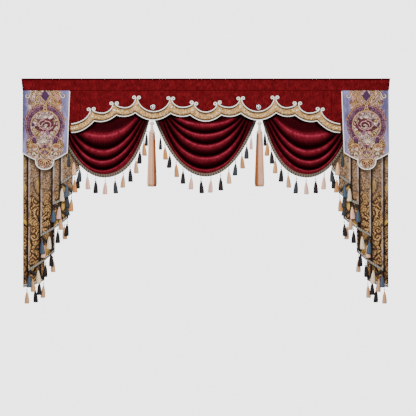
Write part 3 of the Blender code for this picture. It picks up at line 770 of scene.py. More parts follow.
class TasselRow:
    """Small tassels, each one laid in front of those that hang behind it."""

    def __init__(self):
        self.placed = []

    def add(self, root, out_behind, length, dye, width=1.0):
        skirt = SMALL_TASSEL[-1]
        x, out, drop = root
        front = out_behind
        for other_x, other_drop, other_length, other_width, taken in self.placed:
            level = min(drop + length, other_drop + other_length)
            room = (skirt_width((level - drop) / length) * width
                    + skirt_width((level - other_drop) / other_length) * other_width)
            if abs(x - other_x) < room + TASSEL_CLEARANCE:
                front = max(front, taken + TASSEL_CLEARANCE)
        centre = max(out, front + skirt.half_depth * width)
        self.placed.append((x, drop, length, width, centre + skirt.half_depth * width))
        return Tassel(x, out, drop, centre, length, width, dye)


def skirt_width(share):
    """Half width of a small tassel at a share of its length, or none outside it."""
    for ring, following in zip(SMALL_TASSEL, SMALL_TASSEL[1:]):
        if ring.share <= share <= following.share:
            way = (share - ring.share) / (following.share - ring.share)
            return between(ring.half_width, following.half_width, way)
    return -math.inf


def tassel_length(index):
    """Slightly uneven lengths, from 0.95 to 1.04 of the usual one."""
    return SMALL_TASSEL_LENGTH * (0.95 + 0.09 * ((index * 0.618) % 1))


def fringe_roots(hem, foot, count):
    """Equal steps along the braid, from its left end to its right end."""
    places = [place / MM for place in
              braid_line(hem, foot, FRINGE_ROOT, columns=COARSE_COLUMNS)]
    runs = run_lengths(places)
    before, after = BARE_ENDS[count]
    roots = []
    for share_of_row in steps(count):
        wanted = runs[-1] * between(before, 1 - after, share_of_row)
        index = next(i for i, run in enumerate(runs[1:]) if run >= wanted)
        share = (wanted - runs[index]) / (runs[index + 1] - runs[index])
        place = places[index].lerp(places[index + 1], share)
        roots.append((place.x, -place.y, -place.z))
    return roots


def swag_tassels(hem, foot, dyes, row):
    """The tassels on the braid of a swag. The outer ones of a side swag hang in front of its
    tail, and the first and the last of every swag are narrow."""
    hung = []
    front_layer = len(TAIL_FOLDS) - 1
    for index, (x, out, drop) in enumerate(fringe_roots(hem, foot, len(dyes))):
        width = END_TASSEL_WIDTH if index in (0, len(dyes) - 1) else 1.0
        length = tassel_length(index)
        behind = out - FREE_SPACE
        if x < TAIL_FOLDS[-1].x + SMALL_TASSEL[-1].half_width:
            behind = max(behind, tail_out(front_layer, x, drop + length) + TAIL_CLOTH)
        hung.append(row.add((x, out, drop), behind, length, dyes[index], width))
    return hung


def tail_root(layer, x):
    """Where a tassel hangs from the braid of a layer: x, out and drop."""
    hem = tail_hem(layer, x)
    return x, tail_out(layer, x, hem), hem - (1 - FRINGE_ROOT) * TAIL_BRAID


def tail_tassels(row):
    """The tassels on the braid of a tail. Those of the back layer hang at the wall."""
    hung = []
    for layer, places in TAIL_TASSELS.items():
        for x, dye in places:
            root = tail_root(layer, x)
            behind = (SEAM_GAP if layer == 1
                      else tail_out(layer, x, root[2] + SMALL_TASSEL_LENGTH))
            hung.append(row.add(root, behind, tassel_length(len(hung)), dye))
    return hung


def small_tassel(bm):
    """A tassel hung from the origin, TASSEL_PATTERN long: cord, bead, bound neck and a
    skirt of cut threads."""
    chance = random.Random(5)
    tube(bm, [Vector((0, 0, -drop * MM)) for drop in (0, 8, 16, 24, 32, 36)], 1.1,
         CORD_DYE, sides=6)
    bead = [(0, 20), (1.6, 20.3), (2.9, 21.8), (3.3, 24), (2.9, 26.2), (1.6, 27.7), (0, 28)]
    turned(bm, bead, 10, Matrix(), BEAD_DYE)
    skirt = [(0, 33), (2.6, 33.2), (4.6, 35.5), (5.0, 39), (4.2, 41.5), (6.2, 44), (8.8, 52),
             (11.0, 64), (13.0, 78), (14.2, 92), (14.2, 99), (13.4, 103), (11.0, 104), (0, 100)]
    threads = [chance.uniform(0.96, 1.05) for _ in range(CUT_THREADS)]

    def cut(turn, share):
        return between(1, threads[round(turn * CUT_THREADS) % CUT_THREADS], share)

    turned(bm, skirt, CUT_THREADS, Matrix(), ripple=cut)
    turned(bm, [(0, 40), (3.9, 40.2), (4.5, 41.5), (3.9, 42.8), (0, 43)], 14, Matrix())
    for k in range(LOOSE_THREADS):
        angle = 2 * math.pi * (k + chance.random()) / LOOSE_THREADS
        lean = chance.uniform(0.94, 1.06)
        end = chance.uniform(99, 105.5)
        path = [round_point(radius, angle, drop)
                for radius, drop in ((4.2, 42), (8.7, 54), (12.0, 74), (13.4 * lean, end))]
        tube(bm, path, 0.7, sides=3)
    for vert in bm.verts:
        vert.co.y *= TASSEL_FLATNESS


def hang_small_tassels(bm, hung):
    """Copies of one tassel, each one dyed and moved to its place."""
    small_tassel(bm)
    pattern = [*bm.verts, *bm.edges, *bm.faces]
    old = bm.verts[:]
    dye = bm.verts.layers.float_color["dye"]
    for index, tassel in enumerate(hung):
        copy = bmesh.ops.duplicate(bm, geom=pattern)["geom"]
        fresh = [part for part in copy if isinstance(part, bmesh.types.BMVert)]
        stretch = tassel.length / TASSEL_PATTERN
        lean = TASSEL_LEAN * math.sin(index * 2.4)
        bead = BLACK_BEAD if tassel.dye in ("black", "slate") else BROWN_BEAD
        for vert in fresh:
            share = -vert.co.z / (TASSEL_PATTERN * MM)
            forward = (tassel.centre - tassel.out) * min(1, share / SMALL_TASSEL[2].share) * MM
            if vert[dye][0] == UNDYED[0]:
                vert[dye] = (*DYES[tassel.dye], 1)
            elif vert[dye][0] == BEAD_DYE[0]:
                vert[dye] = (*bead, 1)
            vert.co = (vert.co.x * tassel.width - lean * vert.co.z * min(1, share),
                       vert.co.y * tassel.width - forward, vert.co.z * stretch)
        bmesh.ops.translate(bm, verts=fresh, vec=point(tassel.x, tassel.out, tassel.drop))
    bmesh.ops.delete(bm, geom=old, context="VERTS")


# -------- tails

def tail_hem(layer, x):
    """Drop of the hem of one layer of a tail."""
    first, second = TAIL_FOLDS[layer - 1], TAIL_FOLDS[layer]
    share = (x - first.x) / (second.x - first.x)
    belly = TAIL_BELLY * math.sin(math.pi * share) if layer % 2 else 0
    return between(first.hem_drop, second.hem_drop, share) + belly


def tail_columns():
    """Columns across a folded tail: layer, with the share of a turn, x and hem drop."""
    columns = []
    last = len(TAIL_FOLDS) - 1
    for layer in range(1, last + 1):
        first, second = TAIL_FOLDS[layer - 1], TAIL_FOLDS[layer]
        way = 1 if second.x > first.x else -1
        start = first.x + (TURN_INSET * way if layer > 1 else 0)
        end = second.x - (TURN_INSET * way if layer < last else 0)
        for share in steps(LAYER_COLUMNS):
            x = between(start, end, share)
            columns.append((layer, x, tail_hem(layer, x)))
        if layer < last:
            for k in range(1, TURN_COLUMNS):
                turn = math.pi * k / TURN_COLUMNS
                columns.append((layer + 0.5 - 0.5 * math.cos(turn),
                                end + TURN_INSET * way * math.sin(turn), second.hem_drop))
    return columns


def tail_shade(layer, x):
    """How much painted shade falls on a layer beside the fold in front of it. Below 0 it is a
    painted highlight.
    """
    shade = 0.0
    for number, (edge, _) in enumerate(TAIL_FOLDS[2::2], 1):
        if 2 * number < layer < 2 * number + 1.7 and x >= edge - 1:
            shade -= 0.9 * math.exp(-((x - edge - 4) / 6) ** 2)
        if layer <= 2 * number and x < edge + 3:
            shade += 1.4 * math.exp(-(max(0, edge - x) / 11) ** 1.4)
    return max(-1, min(1, shade))


def tail_lines(shares, top_of, foot_of):
    """Lines across a tail, each at a share of the way from one drop to another."""
    lines = []
    columns = tail_columns()
    for share in shares:
        line = []
        for layer, x, hem in columns:
            drop = between(top_of(hem), foot_of(hem), share)
            line.append(point(x, tail_out(layer, x, drop), drop))
        lines.append(line)
    return lines


# -------- side panels

def panel_foot(x):
    """Drop of the panel's lower edge: two sloping shoulders and a round lobe between."""
    across = abs(x - PANEL_LOBE_X)
    if across <= PANEL_LOBE_HALF:
        lobe = math.sqrt(max(0.0, 1 - (across / PANEL_LOBE_HALF) ** 2))
        return PANEL_LOBE_DROP + PANEL_LOBE_DEPTH * lobe
    half = PANEL_INNER_FOOT - PANEL_LOBE_X
    share = (across - PANEL_LOBE_HALF) / (half - PANEL_LOBE_HALF)
    return between(PANEL_SHOULDER_DROP, PANEL_SIDE_DROP, share ** SHOULDER_POWER)


def panel_places():
    """x places across the foot of the panel, with the corners of the lobe."""
    half = PANEL_INNER_FOOT - PANEL_LOBE_X
    lobe = [PANEL_LOBE_HALF * math.sin(math.pi / 2 * k / LOBE_COLUMNS)
            for k in range(LOBE_COLUMNS + 1)]
    shoulder = [between(PANEL_LOBE_HALF + CORNER, half, share)
                for share in steps(SHOULDER_COLUMNS)]
    right = lobe + shoulder
    return [PANEL_LOBE_X - x for x in reversed(right[1:])] + [PANEL_LOBE_X + x for x in right]


def panel_point(foot_x, share, forward=0.0):
    """A point of the panel, from its place at the foot and its share of the drop."""
    spread = (foot_x - PANEL_OUTER_X) / (PANEL_INNER_FOOT - PANEL_OUTER_X)
    top_x = between(PANEL_OUTER_X, PANEL_INNER_TOP, spread)
    x = between(top_x, foot_x, share)
    drop = between(TUCK_DROP, panel_foot(foot_x), share)
    return point(x, panel_out(x, drop) + forward, drop)


def panel_cord():
    """Points of the piping: down the inner edge and along the foot."""
    forward = CLOTH / 2 + SEAM_GAP + CORD_RADIUS
    top_share = (HEADER_HEIGHT + CORD_RADIUS) / PANEL_SIDE_DROP
    inner = [panel_point(PANEL_INNER_FOOT, between(top_share, 1, share), forward)
             for share in steps(40)]
    foot = [panel_point(x, 1, forward) for x in reversed(panel_places()[:-1])]
    return even_steps(inner + foot, CORD_STEP)


# -------- medallions

def stitch(bm, places, width, silk, height=1.0, taper=0.6, count=0):
    """A satin-stitched line on the panel, widest in its middle. u is measured in millimetres
    from the middle line of the panel. taper is what is missing from the width at its ends."""
    sides = 8
    count = count or 6 * len(places)
    line = [smooth_row(places, share * (len(places) - 1)) for share in steps(count)]
    rings = []
    for index, (u, drop) in enumerate(line):
        ahead, behind = line[min(index + 1, count - 1)], line[max(index - 1, 0)]
        along = Vector((ahead[0] - behind[0], 0, behind[1] - ahead[1])).normalized()
        side = Vector((along.z, 0, -along.x))
        share = index / (count - 1)
        swell = 1 - taper * abs(2 * share - 1) ** 1.7
        x = PANEL_LOBE_X + u
        place = point(x, panel_out(x, drop) + CLOTH / 2, drop)
        ring = []
        for k in range(sides + 1):
            angle = 2 * math.pi * (k % sides) / sides
            rise = math.sin(angle) * (height * swell if math.sin(angle) > 0 else 0.4)
            ring.append(place + (side * (width / 2 * swell * math.cos(angle))
                                 + Vector((0, -rise, 0))) * MM)
        rings.append(ring)
    ends = [[sum(rings[end][:sides], Vector()) / sides] * (sides + 1) for end in (0, -1)]
    rings = [ends[0], *rings, ends[1]]
    uvs = [[(k / sides, row * 0.003) for k in range(sides + 1)] for row in range(len(rings))]
    skin(bm, rings, uvs, SILKS[silk], closed=True)


def on_oval(drop, half_width, half_height, angle):
    """A place on an oval round the middle line. 90 degrees points down."""
    turn = math.radians(angle)
    return half_width * math.cos(turn), drop + half_height * math.sin(turn)


def outlined(bm, places, width, silk, height=1.0, taper=0.6, count=0):
    """A stitched line with a dark edge on both sides."""
    stitch(bm, places, width + OUTLINE, "umber", height * 0.5, taper * 0.5, count)
    stitch(bm, places, width, silk, height, taper, count)


def petal(bm, u, drop, angle, length, width, silk, core=None):
    """A pointed petal with a dark edge, and a core laid on it."""
    across, down = math.cos(math.radians(angle)), math.sin(math.radians(angle))

    def along(*shares):
        return [(u + across * length * share, drop + down * length * share)
                for share in shares]

    (outlined if width > 7 else stitch)(bm, along(0.05, 0.5, 1), width, silk, 1.2, 0.85, 8)
    if core:
        stitch(bm, along(0.25, 0.55, 0.86), width * 0.56, core, 1.8, 0.6, 7)


def sew_half(bm, side):
    """The scrolls, leaves and fans that are the same on both halves. side is -1 or 1."""
    def line(silk, width, height, *places, sew=outlined):
        sew(bm, [(side * u, drop) for u, drop in places], width, silk, height)

    def leaf(u, drop, angle, length, width, silk, core=None):
        petal(bm, side * u, drop, angle if side > 0 else 180 - angle, length, width, silk, core)

    # corner scroll and crown
    line("cream", 6.5, 1.4, (72, 77), (84, 84), (90, 98), (97, 113), (109, 117), (117, 108),
         (112, 98), (104, 102))
    line("gold", 6, 1.2, (60, 79), (76, 92), (91, 101))
    line("gold", 7, 1.6, (8, 150), (20, 134), (24, 114), (38, 106), (52, 115), (53, 130),
         (43, 136), (36, 128))
    line("gold", 5.5, 1.4, (26, 80), (42, 80), (50, 94), (42, 106))
    line("gold", 5.5, 1.4, (12, 164), (28, 154), (44, 150), (58, 157), (72, 150), (78, 136))
    leaf(54, 156, -62, 30, 12, "gold" if side > 0 else "cream", "umber")
    leaf(66, 160, -24, 28, 12, "gold", "terracotta" if side > 0 else "umber")
    leaf(88, 128, 75, 26, 9, "terracotta" if side > 0 else "mauve")
    # leaves round the upper half of the wreath
    for angle in range(-62, -10, 10):
        u, drop = on_oval(WREATH_DROP, WREATH_RADII[0] + 1, WREATH_RADII[1] + 1, angle)
        leaf(u, drop, angle - 66, 19, 9, "gold" if side > 0 else "pink", "terracotta")
    # purple drops, arches and V below the wreath
    leaf(64, 356, 96, 42, 22, "plum")
    line("pink", 5, 1.6, (84, 372), (76, 354), (62, 349), (52, 360), (48, 382))
    line("gold", 7.5, 1.7, (98, 428), (90, 404), (70, 394), (50, 400), (40, 420), (29, 444),
         (14, 462), (2, 476))
    line("terracotta", 12, 1.2, (78, 416), (66, 406), (52, 414), sew=stitch)
    line("cream", 6, 1.2, (72, 428), (62, 424), (54, 432), sew=stitch)
    line("gold", 4.5, 1.2, (22, 392), (17, 420), (28, 446))
    # shoulder fan
    for angle, length in ((-92, 36), (-56, 36), (-22, 32), (12, 30), (44, 28)):
        leaf(82, 404, angle, length, 15, "gold", "umber")
    for angle in (48, 72, 96, 120, 144):
        leaf(66, 440, angle, 26, 8, "cream" if angle % 48 else "green")
    line("gold", 5, 1.3, (100, 432), (86, 440), (66, 442), (48, 454))


def sew_rose(bm):
    """Rose, buds and leaves in the middle of the wreath."""
    for u, drop, angle, length in ((-34, 318, 140, 34), (-46, 306, 172, 30), (-30, 322, 104, 32),
                                   (46, 312, 52, 30), (54, 262, -50, 26), (-42, 262, 215, 28)):
        petal(bm, u, drop, angle, length, 14, "green", "gold")
    for u, drop, angle, length, width, silk in (
            (-4, 304, 122, 42, 24, "pink"), (8, 306, 66, 36, 22, "mauve"),
            (-16, 292, 176, 46, 15, "burgundy"), (34, 292, -18, 38, 15, "burgundy"),
            (26, 262, -40, 36, 12, "burgundy"), (-14, 264, 206, 40, 12, "mauve")):
        petal(bm, u, drop, angle, length, width, silk, "umber" if width < 16 else None)
    for silk, width, places in (
            ("pink", 8, ((-38, 268), (-24, 254), (-2, 250), (10, 262))),
            ("burgundy", 9, ((-27, 282), (-20, 263), (4, 249), (30, 253), (46, 268), (46, 284))),
            ("pink", 7, ((-10, 268), (8, 258), (27, 263), (35, 277), (29, 292))),
            ("burgundy", 7, ((-13, 294), (-8, 276), (8, 268), (22, 274), (20, 288), (8, 292))),
            ("cream", 5, ((-1, 284), (7, 277), (14, 283))),
            ("pink", 7, ((-46, 278), (-34, 290), (-14, 304), (8, 305))),
            ("burgundy", 10, ((-54, 292), (-40, 306), (-14, 316), (4, 312))),
            ("pink", 7, ((4, 312), (24, 308), (42, 296), (56, 276))),
            ("burgundy", 10, ((10, 322), (34, 314), (52, 298), (66, 274)))):
        outlined(bm, places, width, silk, 1.8, 0.5)
    petal(bm, 62, 288, -62, 32, 17, "burgundy", "pink")
    petal(bm, -68, 290, 250, 26, 12, "plum")


def sew_sprays(bm):
    """Small sprays above and below the rose."""
    for angle in range(-168, 0, 24):
        petal(bm, -8, 388, angle, 40, 11, "cream", "mauve" if angle % 48 else "green")
    for angle in (-156, -132, -108, -84, -60, -36):
        petal(bm, 2, 242, angle, 34, 8, "cream" if angle % 48 else "green", "mauve")
    for u, drop in ((-48, 238), (-60, 252), (-32, 224), (32, 224), (50, 238), (62, 256),
                    (-24, 210), (22, 210), (0, 202), (-72, 268), (74, 262), (-60, 306),
                    (70, 318), (-40, 352), (36, 350), (22, 338)):
        petal(bm, u, drop, -90 + u, 18, 8, "cream" if (u + drop) % 4 else "pink", "umber")
    for drop in (402, 420, 438, 456):
        for side in (-1, 1):
            petal(bm, side * 2, drop, 90 - side * 50, 20, 9, "mauve" if drop % 4 else "gold")
            petal(bm, side * 24, drop - 8, 90 - side * 20, 15, 7, "pink" if drop % 4 else "umber")
    petal(bm, 0, 398, 90, 22, 10, "burgundy")


def sew_medallion(name, flip=False):
    """A traditional floral medallion in satin stitch on a side panel."""
    bm = bmesh.new()
    # diamond
    for k in range(10):
        drop = 79 + 6 * k
        reach = 27 * (1 - abs(drop - 104) / 34)
        stitch(bm, [(-reach, drop), (0, drop + 1.5), (reach, drop)], 7, "plum", 1.1, 0.3, 8)
    petal(bm, 0, 92, 90, 22, 8, "mauve", "plum")
    # wreath
    for size, width, silk, height in ((1.0, 4.5, "burgundy", 1.4), (0.94, 3, "mauve", 1.2),
                                      (0.72, 4.5, "gold", 1.4), (0.78, 3, "burgundy", 1.1)):
        ring = [on_oval(WREATH_DROP, WREATH_RADII[0] * size, WREATH_RADII[1] * size,
                        between(WREATH_START, WREATH_END, share)) for share in steps(33)]
        stitch(bm, ring, width, silk, height, 0.3, 65)
    for k in range(24):
        angle = between(WREATH_START + 6, WREATH_END - 8, k / 23)
        u, drop = on_oval(WREATH_DROP, WREATH_RADII[0] * LEAF_RING, WREATH_RADII[1] * LEAF_RING,
                          angle)
        petal(bm, u, drop, angle + 90, 20, 15, "plum" if k % 4 else "mauve",
              "mauve" if k % 2 else "burgundy")
    for side in (-1, 1):
        sew_half(bm, side)
    # knot over the wreath
    for drop, radius in ((152, 11), (172, 8), (190, 11)):
        ring = [on_oval(drop, radius, radius, 360 * share) for share in steps(11)]
        outlined(bm, ring, 5.5, "gold", 2.2, 0)
    sew_sprays(bm)
    sew_rose(bm)
    # palmette in the lobe
    for angle, length in ((90, 42), (52, 38), (128, 38), (18, 38), (162, 38)):
        petal(bm, 0, 490, angle, length, 20, "gold", "burgundy" if angle % 4 else "umber")
    for side in (-1, 1):
        petal(bm, side * 8, 480, 90 - side * 76, 34, 11, "terracotta")
        outlined(bm, [(side * 2, 486), (side * 18, 477), (side * 36, 483), (side * 45, 500)],
                 5, "cream", 1.4)
    return finish_piece(f"medallion_{name}", bm, ["thread"], flip=flip)


# -------- shader maths

class Wire:
    """A number or a colour in a material's nodes. Its operators add Math nodes."""

    def __init__(self, tree, socket=None):
        self.tree = tree
        self.socket = socket

    def node(self, kind, settings=None, values=None, output=0):
        """A new node: its settings first, then its sockets, and the output that is read."""
        made = self.tree.nodes.new(kind)
        for name, setting in (settings or {}).items():
            if name == "stops":
                ramp = made.color_ramp
                while len(ramp.elements) < len(setting):
                    ramp.elements.new(0.5)
                for element, (position, colour) in zip(ramp.elements, setting):
                    element.position = position
                    element.color = (*colour, 1)
            else:
                setattr(made, name, setting)
        for name, value in (values or {}).items():
            if isinstance(value, Wire):
                self.tree.links.new(value.socket, made.inputs[name])
            else:
                made.inputs[name].default_value = value
        return Wire(self.tree, made.outputs[output])

    def math(self, operation, *values):
        return self.node("ShaderNodeMath", {"operation": operation}, dict(enumerate(values)))

    def __add__(self, other):
        return self.math("ADD", self, other)

    def __sub__(self, other):
        return self.math("SUBTRACT", self, other)

    def __rsub__(self, other):
        return self.math("SUBTRACT", other, self)

    def __mul__(self, other):
        return self.math("MULTIPLY", self, other)

    def __truediv__(self, other):
        return self.math("DIVIDE", self, other)

    def __pow__(self, other):
        return self.math("POWER", self, other)

    def __abs__(self):
        return self.math("ABSOLUTE", self)

    __radd__ = __add__
    __rmul__ = __mul__

    def sine(self):
        return self.math("SINE", self)

    def cosine(self):
        return self.math("COSINE", self)

    def fraction(self):
        return self.math("FRACT", self)

    def most(self, other):
        return self.math("MAXIMUM", self, other)

    def ramp(self, low, high):
        """0 below low, 1 above high, and a soft step between. Low may be above high."""
        share = self.node("ShaderNodeMapRange", {"interpolation_type": "SMOOTHSTEP"},
                          {"Value": self, "From Min": min(low, high), "From Max": max(low, high)})
        return share if low < high else 1 - share

    def mix(self, first, second):
        """first where this number is 0, second where it is 1. Both are colours."""
        ends = {6: first, 7: second}
        ends = {key: end if isinstance(end, Wire) else (*end, 1) for key, end in ends.items()}
        return self.node("ShaderNodeMix", {"data_type": "RGBA"}, {0: self, **ends}, 2)

    def colours(self, *stops):
        """A ramp of colours, each given with its position."""
        return self.node("ShaderNodeValToRGB", {"stops": stops}, {"Fac": self})

    def part(self, index):
        """One coordinate of a vector or a colour."""
        return self.node("ShaderNodeSeparateXYZ", {}, {0: self}, index)

    def noise(self, scale, detail, stretch=(1, 1, 1), roughness=0.5):
        """Soft noise from 0 to 1 over this vector. scale is in waves for each metre."""
        place = self.node("ShaderNodeVectorMath", {"operation": "MULTIPLY"},
                          {0: self, 1: stretch})
        return self.node("ShaderNodeTexNoise", {}, {"Vector": place, "Scale": scale,
                                                    "Detail": detail, "Roughness": roughness})

    def cells(self, scale, output):
        """The nearest of many scattered points on the flat cloth: its colour or its place."""
        return self.node("ShaderNodeTexVoronoi", {"voronoi_dimensions": "2D"},
                         {"Vector": self, "Scale": scale}, output)


def material(name, paint, numbers):
    """A material whose paint function returns colour, roughness and, if any, height in metres.
    The numbers are set on the shader's own sockets."""
    made = bpy.data.materials.new(name)
    made.use_nodes = True
    tree = made.node_tree
    shader = tree.nodes["Principled BSDF"]
    start = Wire(tree)
    colour, roughness, height = paint(start)
    for socket, value in {"Base Color": colour, "Roughness": roughness, **numbers}.items():
        if isinstance(value, Wire):
            tree.links.new(value.socket, shader.inputs[socket])
        else:
            shader.inputs[socket].default_value = value
    if height is not None:
        bump = start.node("ShaderNodeBump", {}, {"Height": height, "Strength": 1.0,
                                                 "Distance": 1.0})
        tree.links.new(bump.socket, shader.inputs["Normal"])
    return made


def cloth_place(start):
    """The place on the flat cloth, in metres, from the piece's own UV map."""
    return start.node("ShaderNodeTexCoord", output="UV")


def room_place(start):
    """The place in the room, in metres. The pieces stand at the origin."""
    return start.node("ShaderNodeTexCoord", output="Object")


def attribute(start, name, output="Fac"):
    return start.node("ShaderNodeAttribute", {"attribute_name": name}, output=output)


# -------- finishes

def velvet_nap(place):
    """The nap of velvet, brushed one way or the other, from 0 to 1."""
    return place.noise(26, 5, roughness=0.6) * 0.5 + place.noise(120, 3, (1, 0.4, 1)) * 0.5


def flat_velvet_paint(start):
    """Dark red velvet that hangs flat, mottled by its nap, with painted shade along seams and
    edges and a painted shadow above the band.
    """
    place = cloth_place(start)
    nap = velvet_nap(place)
    pile = place.noise(1500, 1)
    colour = nap.colours((0.34, (0.050, 0.0030, 0.0042)), (0.50, (0.094, 0.0045, 0.0064)),
                         (0.66, (0.155, 0.0085, 0.0115)))
    # Painted shade and painted shadow, nearly black, where the piece marks them.
    colour = (attribute(start, "deep").ramp(0.0, 1.0) * 0.9).mix(colour, (0.010, 0.0004, 0.0008))
    return colour, 0.75 + nap * 0.2, pile * 0.00025 + nap * 0.0006


def swag_velvet_paint(start):
    """Crimson velvet in rolled folds, with a painted pink highlight along each ridge and painted
    shade, nearly black, in the valleys.
    """
    place = cloth_place(start)
    nap = velvet_nap(place)
    pile = place.noise(1500, 1)
    deep = attribute(start, "deep")
    # What the painted shade leaves of the colour: less and less towards the valleys.
    lit = (1 - deep).most(0.0) ** 3.2
    colour = nap.colours((0.34, (0.092, 0.0055, 0.0110)), (0.50, (0.165, 0.0095, 0.0180)),
                         (0.66, (0.240, 0.0170, 0.0300)))
    # Painted pink highlight along each ridge, where the painted shade is least.
    ridge = deep.ramp(0.040, 0.0) * nap.ramp(0.34, 0.58) * 0.55
    colour = ridge.mix(colour, (0.30, 0.034, 0.066))
    return lit.mix((0.0050, 0.0005, 0.0010), colour), 0.70 + nap * 0.2, pile * 0.00025


def brocade_paint(start):
    """Gold brocade with small pale, pink and olive flecks, shaded along its cords."""
    place = room_place(start)
    tone = place.noise(115, 3, (1, 0, 1), 0.8)
    colour = tone.colours((0.37, (0.070, 0.030, 0.012)), (0.43, (0.29, 0.135, 0.035)),
                          (0.48, (0.66, 0.365, 0.105)), (0.53, (0.42, 0.280, 0.090)),
                          (0.57, (0.74, 0.40, 0.22)), (0.61, (0.97, 0.86, 0.66)))
    broad = place.noise(34, 3, (1, 0, 1))
    colour = (broad.ramp(0.56, 0.42) * 0.40).mix(colour, (0.20, 0.095, 0.025))
    # Painted shadow along the cords.
    colour = (attribute(start, "deep").ramp(0.0, 0.7) * 0.94).mix(colour, (0.030, 0.010, 0.004))
    weave = (place.part(0) * 2500).sine() * (place.part(2) * 2500).sine()
    return colour, 0.55 + tone * 0.25, weave * 0.00006 + tone * 0.0006


def cord_paint(start):
    """Ivory rayon, a little uneven in its tone."""
    place = room_place(start)
    tone = place.noise(160, 3)
    return tone.colours((0.3, (0.86, 0.78, 0.60)), (0.55, (0.99, 0.97, 0.90))), 0.38, tone * 0.0002


def thread_paint(start):
    """Dyed silky threads that run along the piece."""
    place = cloth_place(start)
    dye = attribute(start, "dye", "Color")
    streak = place.noise(1.0, 3, (26, 7, 1), 0.65)
    # Painted shade in dark streaks between the threads.
    shaded = (streak.ramp(0.60, 0.34) * 0.62).mix(dye, (0.03, 0.010, 0.004))
    return shaded, 0.50, streak * 0.0008


def braid_paint(start):
    """Woven braid: chevrons across it, dark along both edges."""
    place = cloth_place(start)
    across = place.part(0)
    dye = attribute(start, "dye", "Color")
    chevron = (place.part(1) * 420 + abs(across - 0.5) * 7).sine() * 0.5 + 0.5
    # The chevrons are woven; their raised tops are lightened as a painted highlight and the
    # hollows between them darkened as painted shade.
    shine = dye.part(0).ramp(0.02, 0.08) * 0.36
    light = (chevron.ramp(0.60, 0.95) * shine).mix(dye, (0.36, 0.30, 0.23))
    dark = (chevron.ramp(0.40, 0.1) * 0.55).mix(light, (0.016, 0.012, 0.009))
    dark = (abs(across - 0.5).ramp(0.34, 0.47) * 0.85).mix(dark, (0.010, 0.009, 0.008))
    return dark, 0.55, chevron * 0.0006


def leaf_reach(across, along, width, bend):
    """How far a place is from the middle of a leaf, 1 at its outline. along runs 0 to 1."""
    swell = (along * math.pi).sine().most(0.02)
    return abs(across - (along * 2 * math.pi).sine() * bend) / (swell * width)


def nearest_point(place, scale):
    """x and y from the nearest of many scattered points, in cells, and a chance from 0 to 1
    that is that point's own."""
    middle = place.cells(scale, "Position")
    return ((place.part(0) - middle.part(0)) * scale, (place.part(1) - middle.part(1)) * scale,
            place.cells(scale, "Color").part(0))


def sprigs(place, scale):
    """Small curved leaves, each one turned its own way. Gives how far a place is from the
    middle of the nearest leaf, 1 at its outline, and how far along its veins it is."""
    x, y, chance = nearest_point(place, scale)
    turn = chance * 6.28
    along = x * turn.sine() + y * turn.cosine()
    across = x * turn.cosine() - y * turn.sine() + along * along * 0.9 - 0.08
    reach = abs(across) / (0.30 - along * along * 0.62).most(0.02)
    return reach, along * 3.6 + abs(across) * 3.2


def curls(place, scale):
    """Spirals packed side by side. Gives the height of their line from 0 to 1."""
    x, y, chance = nearest_point(place, scale)
    distance = (x * x + y * y) ** 0.5
    turn = x.math("ARCTAN2", y, x)
    way = x.math("SIGN", chance - 0.5)
    return (distance * 16 + turn * way + chance * 40).sine() * 0.5 + 0.5


def jacquard_paint(start):
    """Curls, sprigs and leaves in gold and brown threads on a dark ground."""
    flat = cloth_place(start)
    push = flat.node("ShaderNodeTexNoise", {}, {"Vector": flat, "Scale": 16.0}, "Color")
    place = push.node("ShaderNodeVectorMath", {"operation": "MULTIPLY_ADD"},
                      {0: push, 1: (0.030, 0.030, 0), 2: flat})
    tone = flat.noise(190, 3, (1, 0.7, 1), 0.65)
    gold = tone.colours((0.38, (0.105, 0.042, 0.012)), (0.49, (0.33, 0.165, 0.048)),
                        (0.61, (0.70, 0.46, 0.20)))
    broad = flat.noise(11, 3, (1, 0.6, 1))
    gold = (broad.ramp(0.58, 0.42) * 0.5).mix(gold, (0.135, 0.062, 0.026))
    ground = tone.colours((0.38, (0.014, 0.005, 0.002)), (0.62, (0.095, 0.036, 0.017)))
    colour = curls(place, 21).ramp(0.46, 0.66).mix(ground, gold)
    reach, vein = sprigs(place, 17)
    body = abs(vein.fraction() - 0.5).ramp(0.10, 0.24).mix((0.045, 0.018, 0.007), gold)
    colour = (reach.ramp(1.7, 1.3) * 0.9).mix(colour, (0.014, 0.005, 0.003))
    colour = reach.ramp(1.05, 0.85).mix(colour, body)
    # large leaves in a half drop repeat
    across = place.part(0) / LEAF_REPEAT[0]
    column = across.fraction()
    way = (place.part(1) / LEAF_REPEAT[1] + (across - column) * 0.5).fraction()
    reach = leaf_reach(column - 0.5, way, 0.22, 0.12)
    vein = (way * 10 + abs(column - 0.5) * 14).fraction() - 0.5
    body = abs(vein).ramp(0.10, 0.26).mix((0.050, 0.020, 0.007), gold)
    body = (flat.noise(13, 2).ramp(0.50, 0.60) * 0.6).mix(body, (0.66, 0.40, 0.060))
    colour = reach.ramp(1.45, 1.15).mix(colour, (0.012, 0.005, 0.003))
    colour = reach.ramp(1.02, 0.86).mix(colour, body)
    # a greyer and plainer top
    drop = 0 - room_place(start).part(2)
    plain = flat.noise(95, 4, (1, 0.7, 1), 0.75).colours((0.38, (0.040, 0.016, 0.008)),
                                                        (0.49, (0.170, 0.098, 0.058)),
                                                        (0.60, (0.40, 0.29, 0.21)))
    colour = (drop.ramp(0.76, 0.58) * 0.62).mix(colour, plain)
    # painted shade beside a fold and a painted silvery highlight along it
    deep = attribute(start, "deep")
    uneven = flat.noise(34, 3, (1, 0.35, 1)).ramp(0.30, 0.62)
    colour = ((0 - deep).ramp(0.10, 0.95) * uneven * 0.75).mix(colour, (0.46, 0.38, 0.37))
    colour = (deep.ramp(0.02, 0.80) * 0.97).mix(colour, (0.005, 0.0025, 0.002))
    thread = flat.noise(900, 1, (1, 0.3, 1))
    return colour, 0.48 + tone * 0.2, thread * 0.0003 + tone * 0.0005


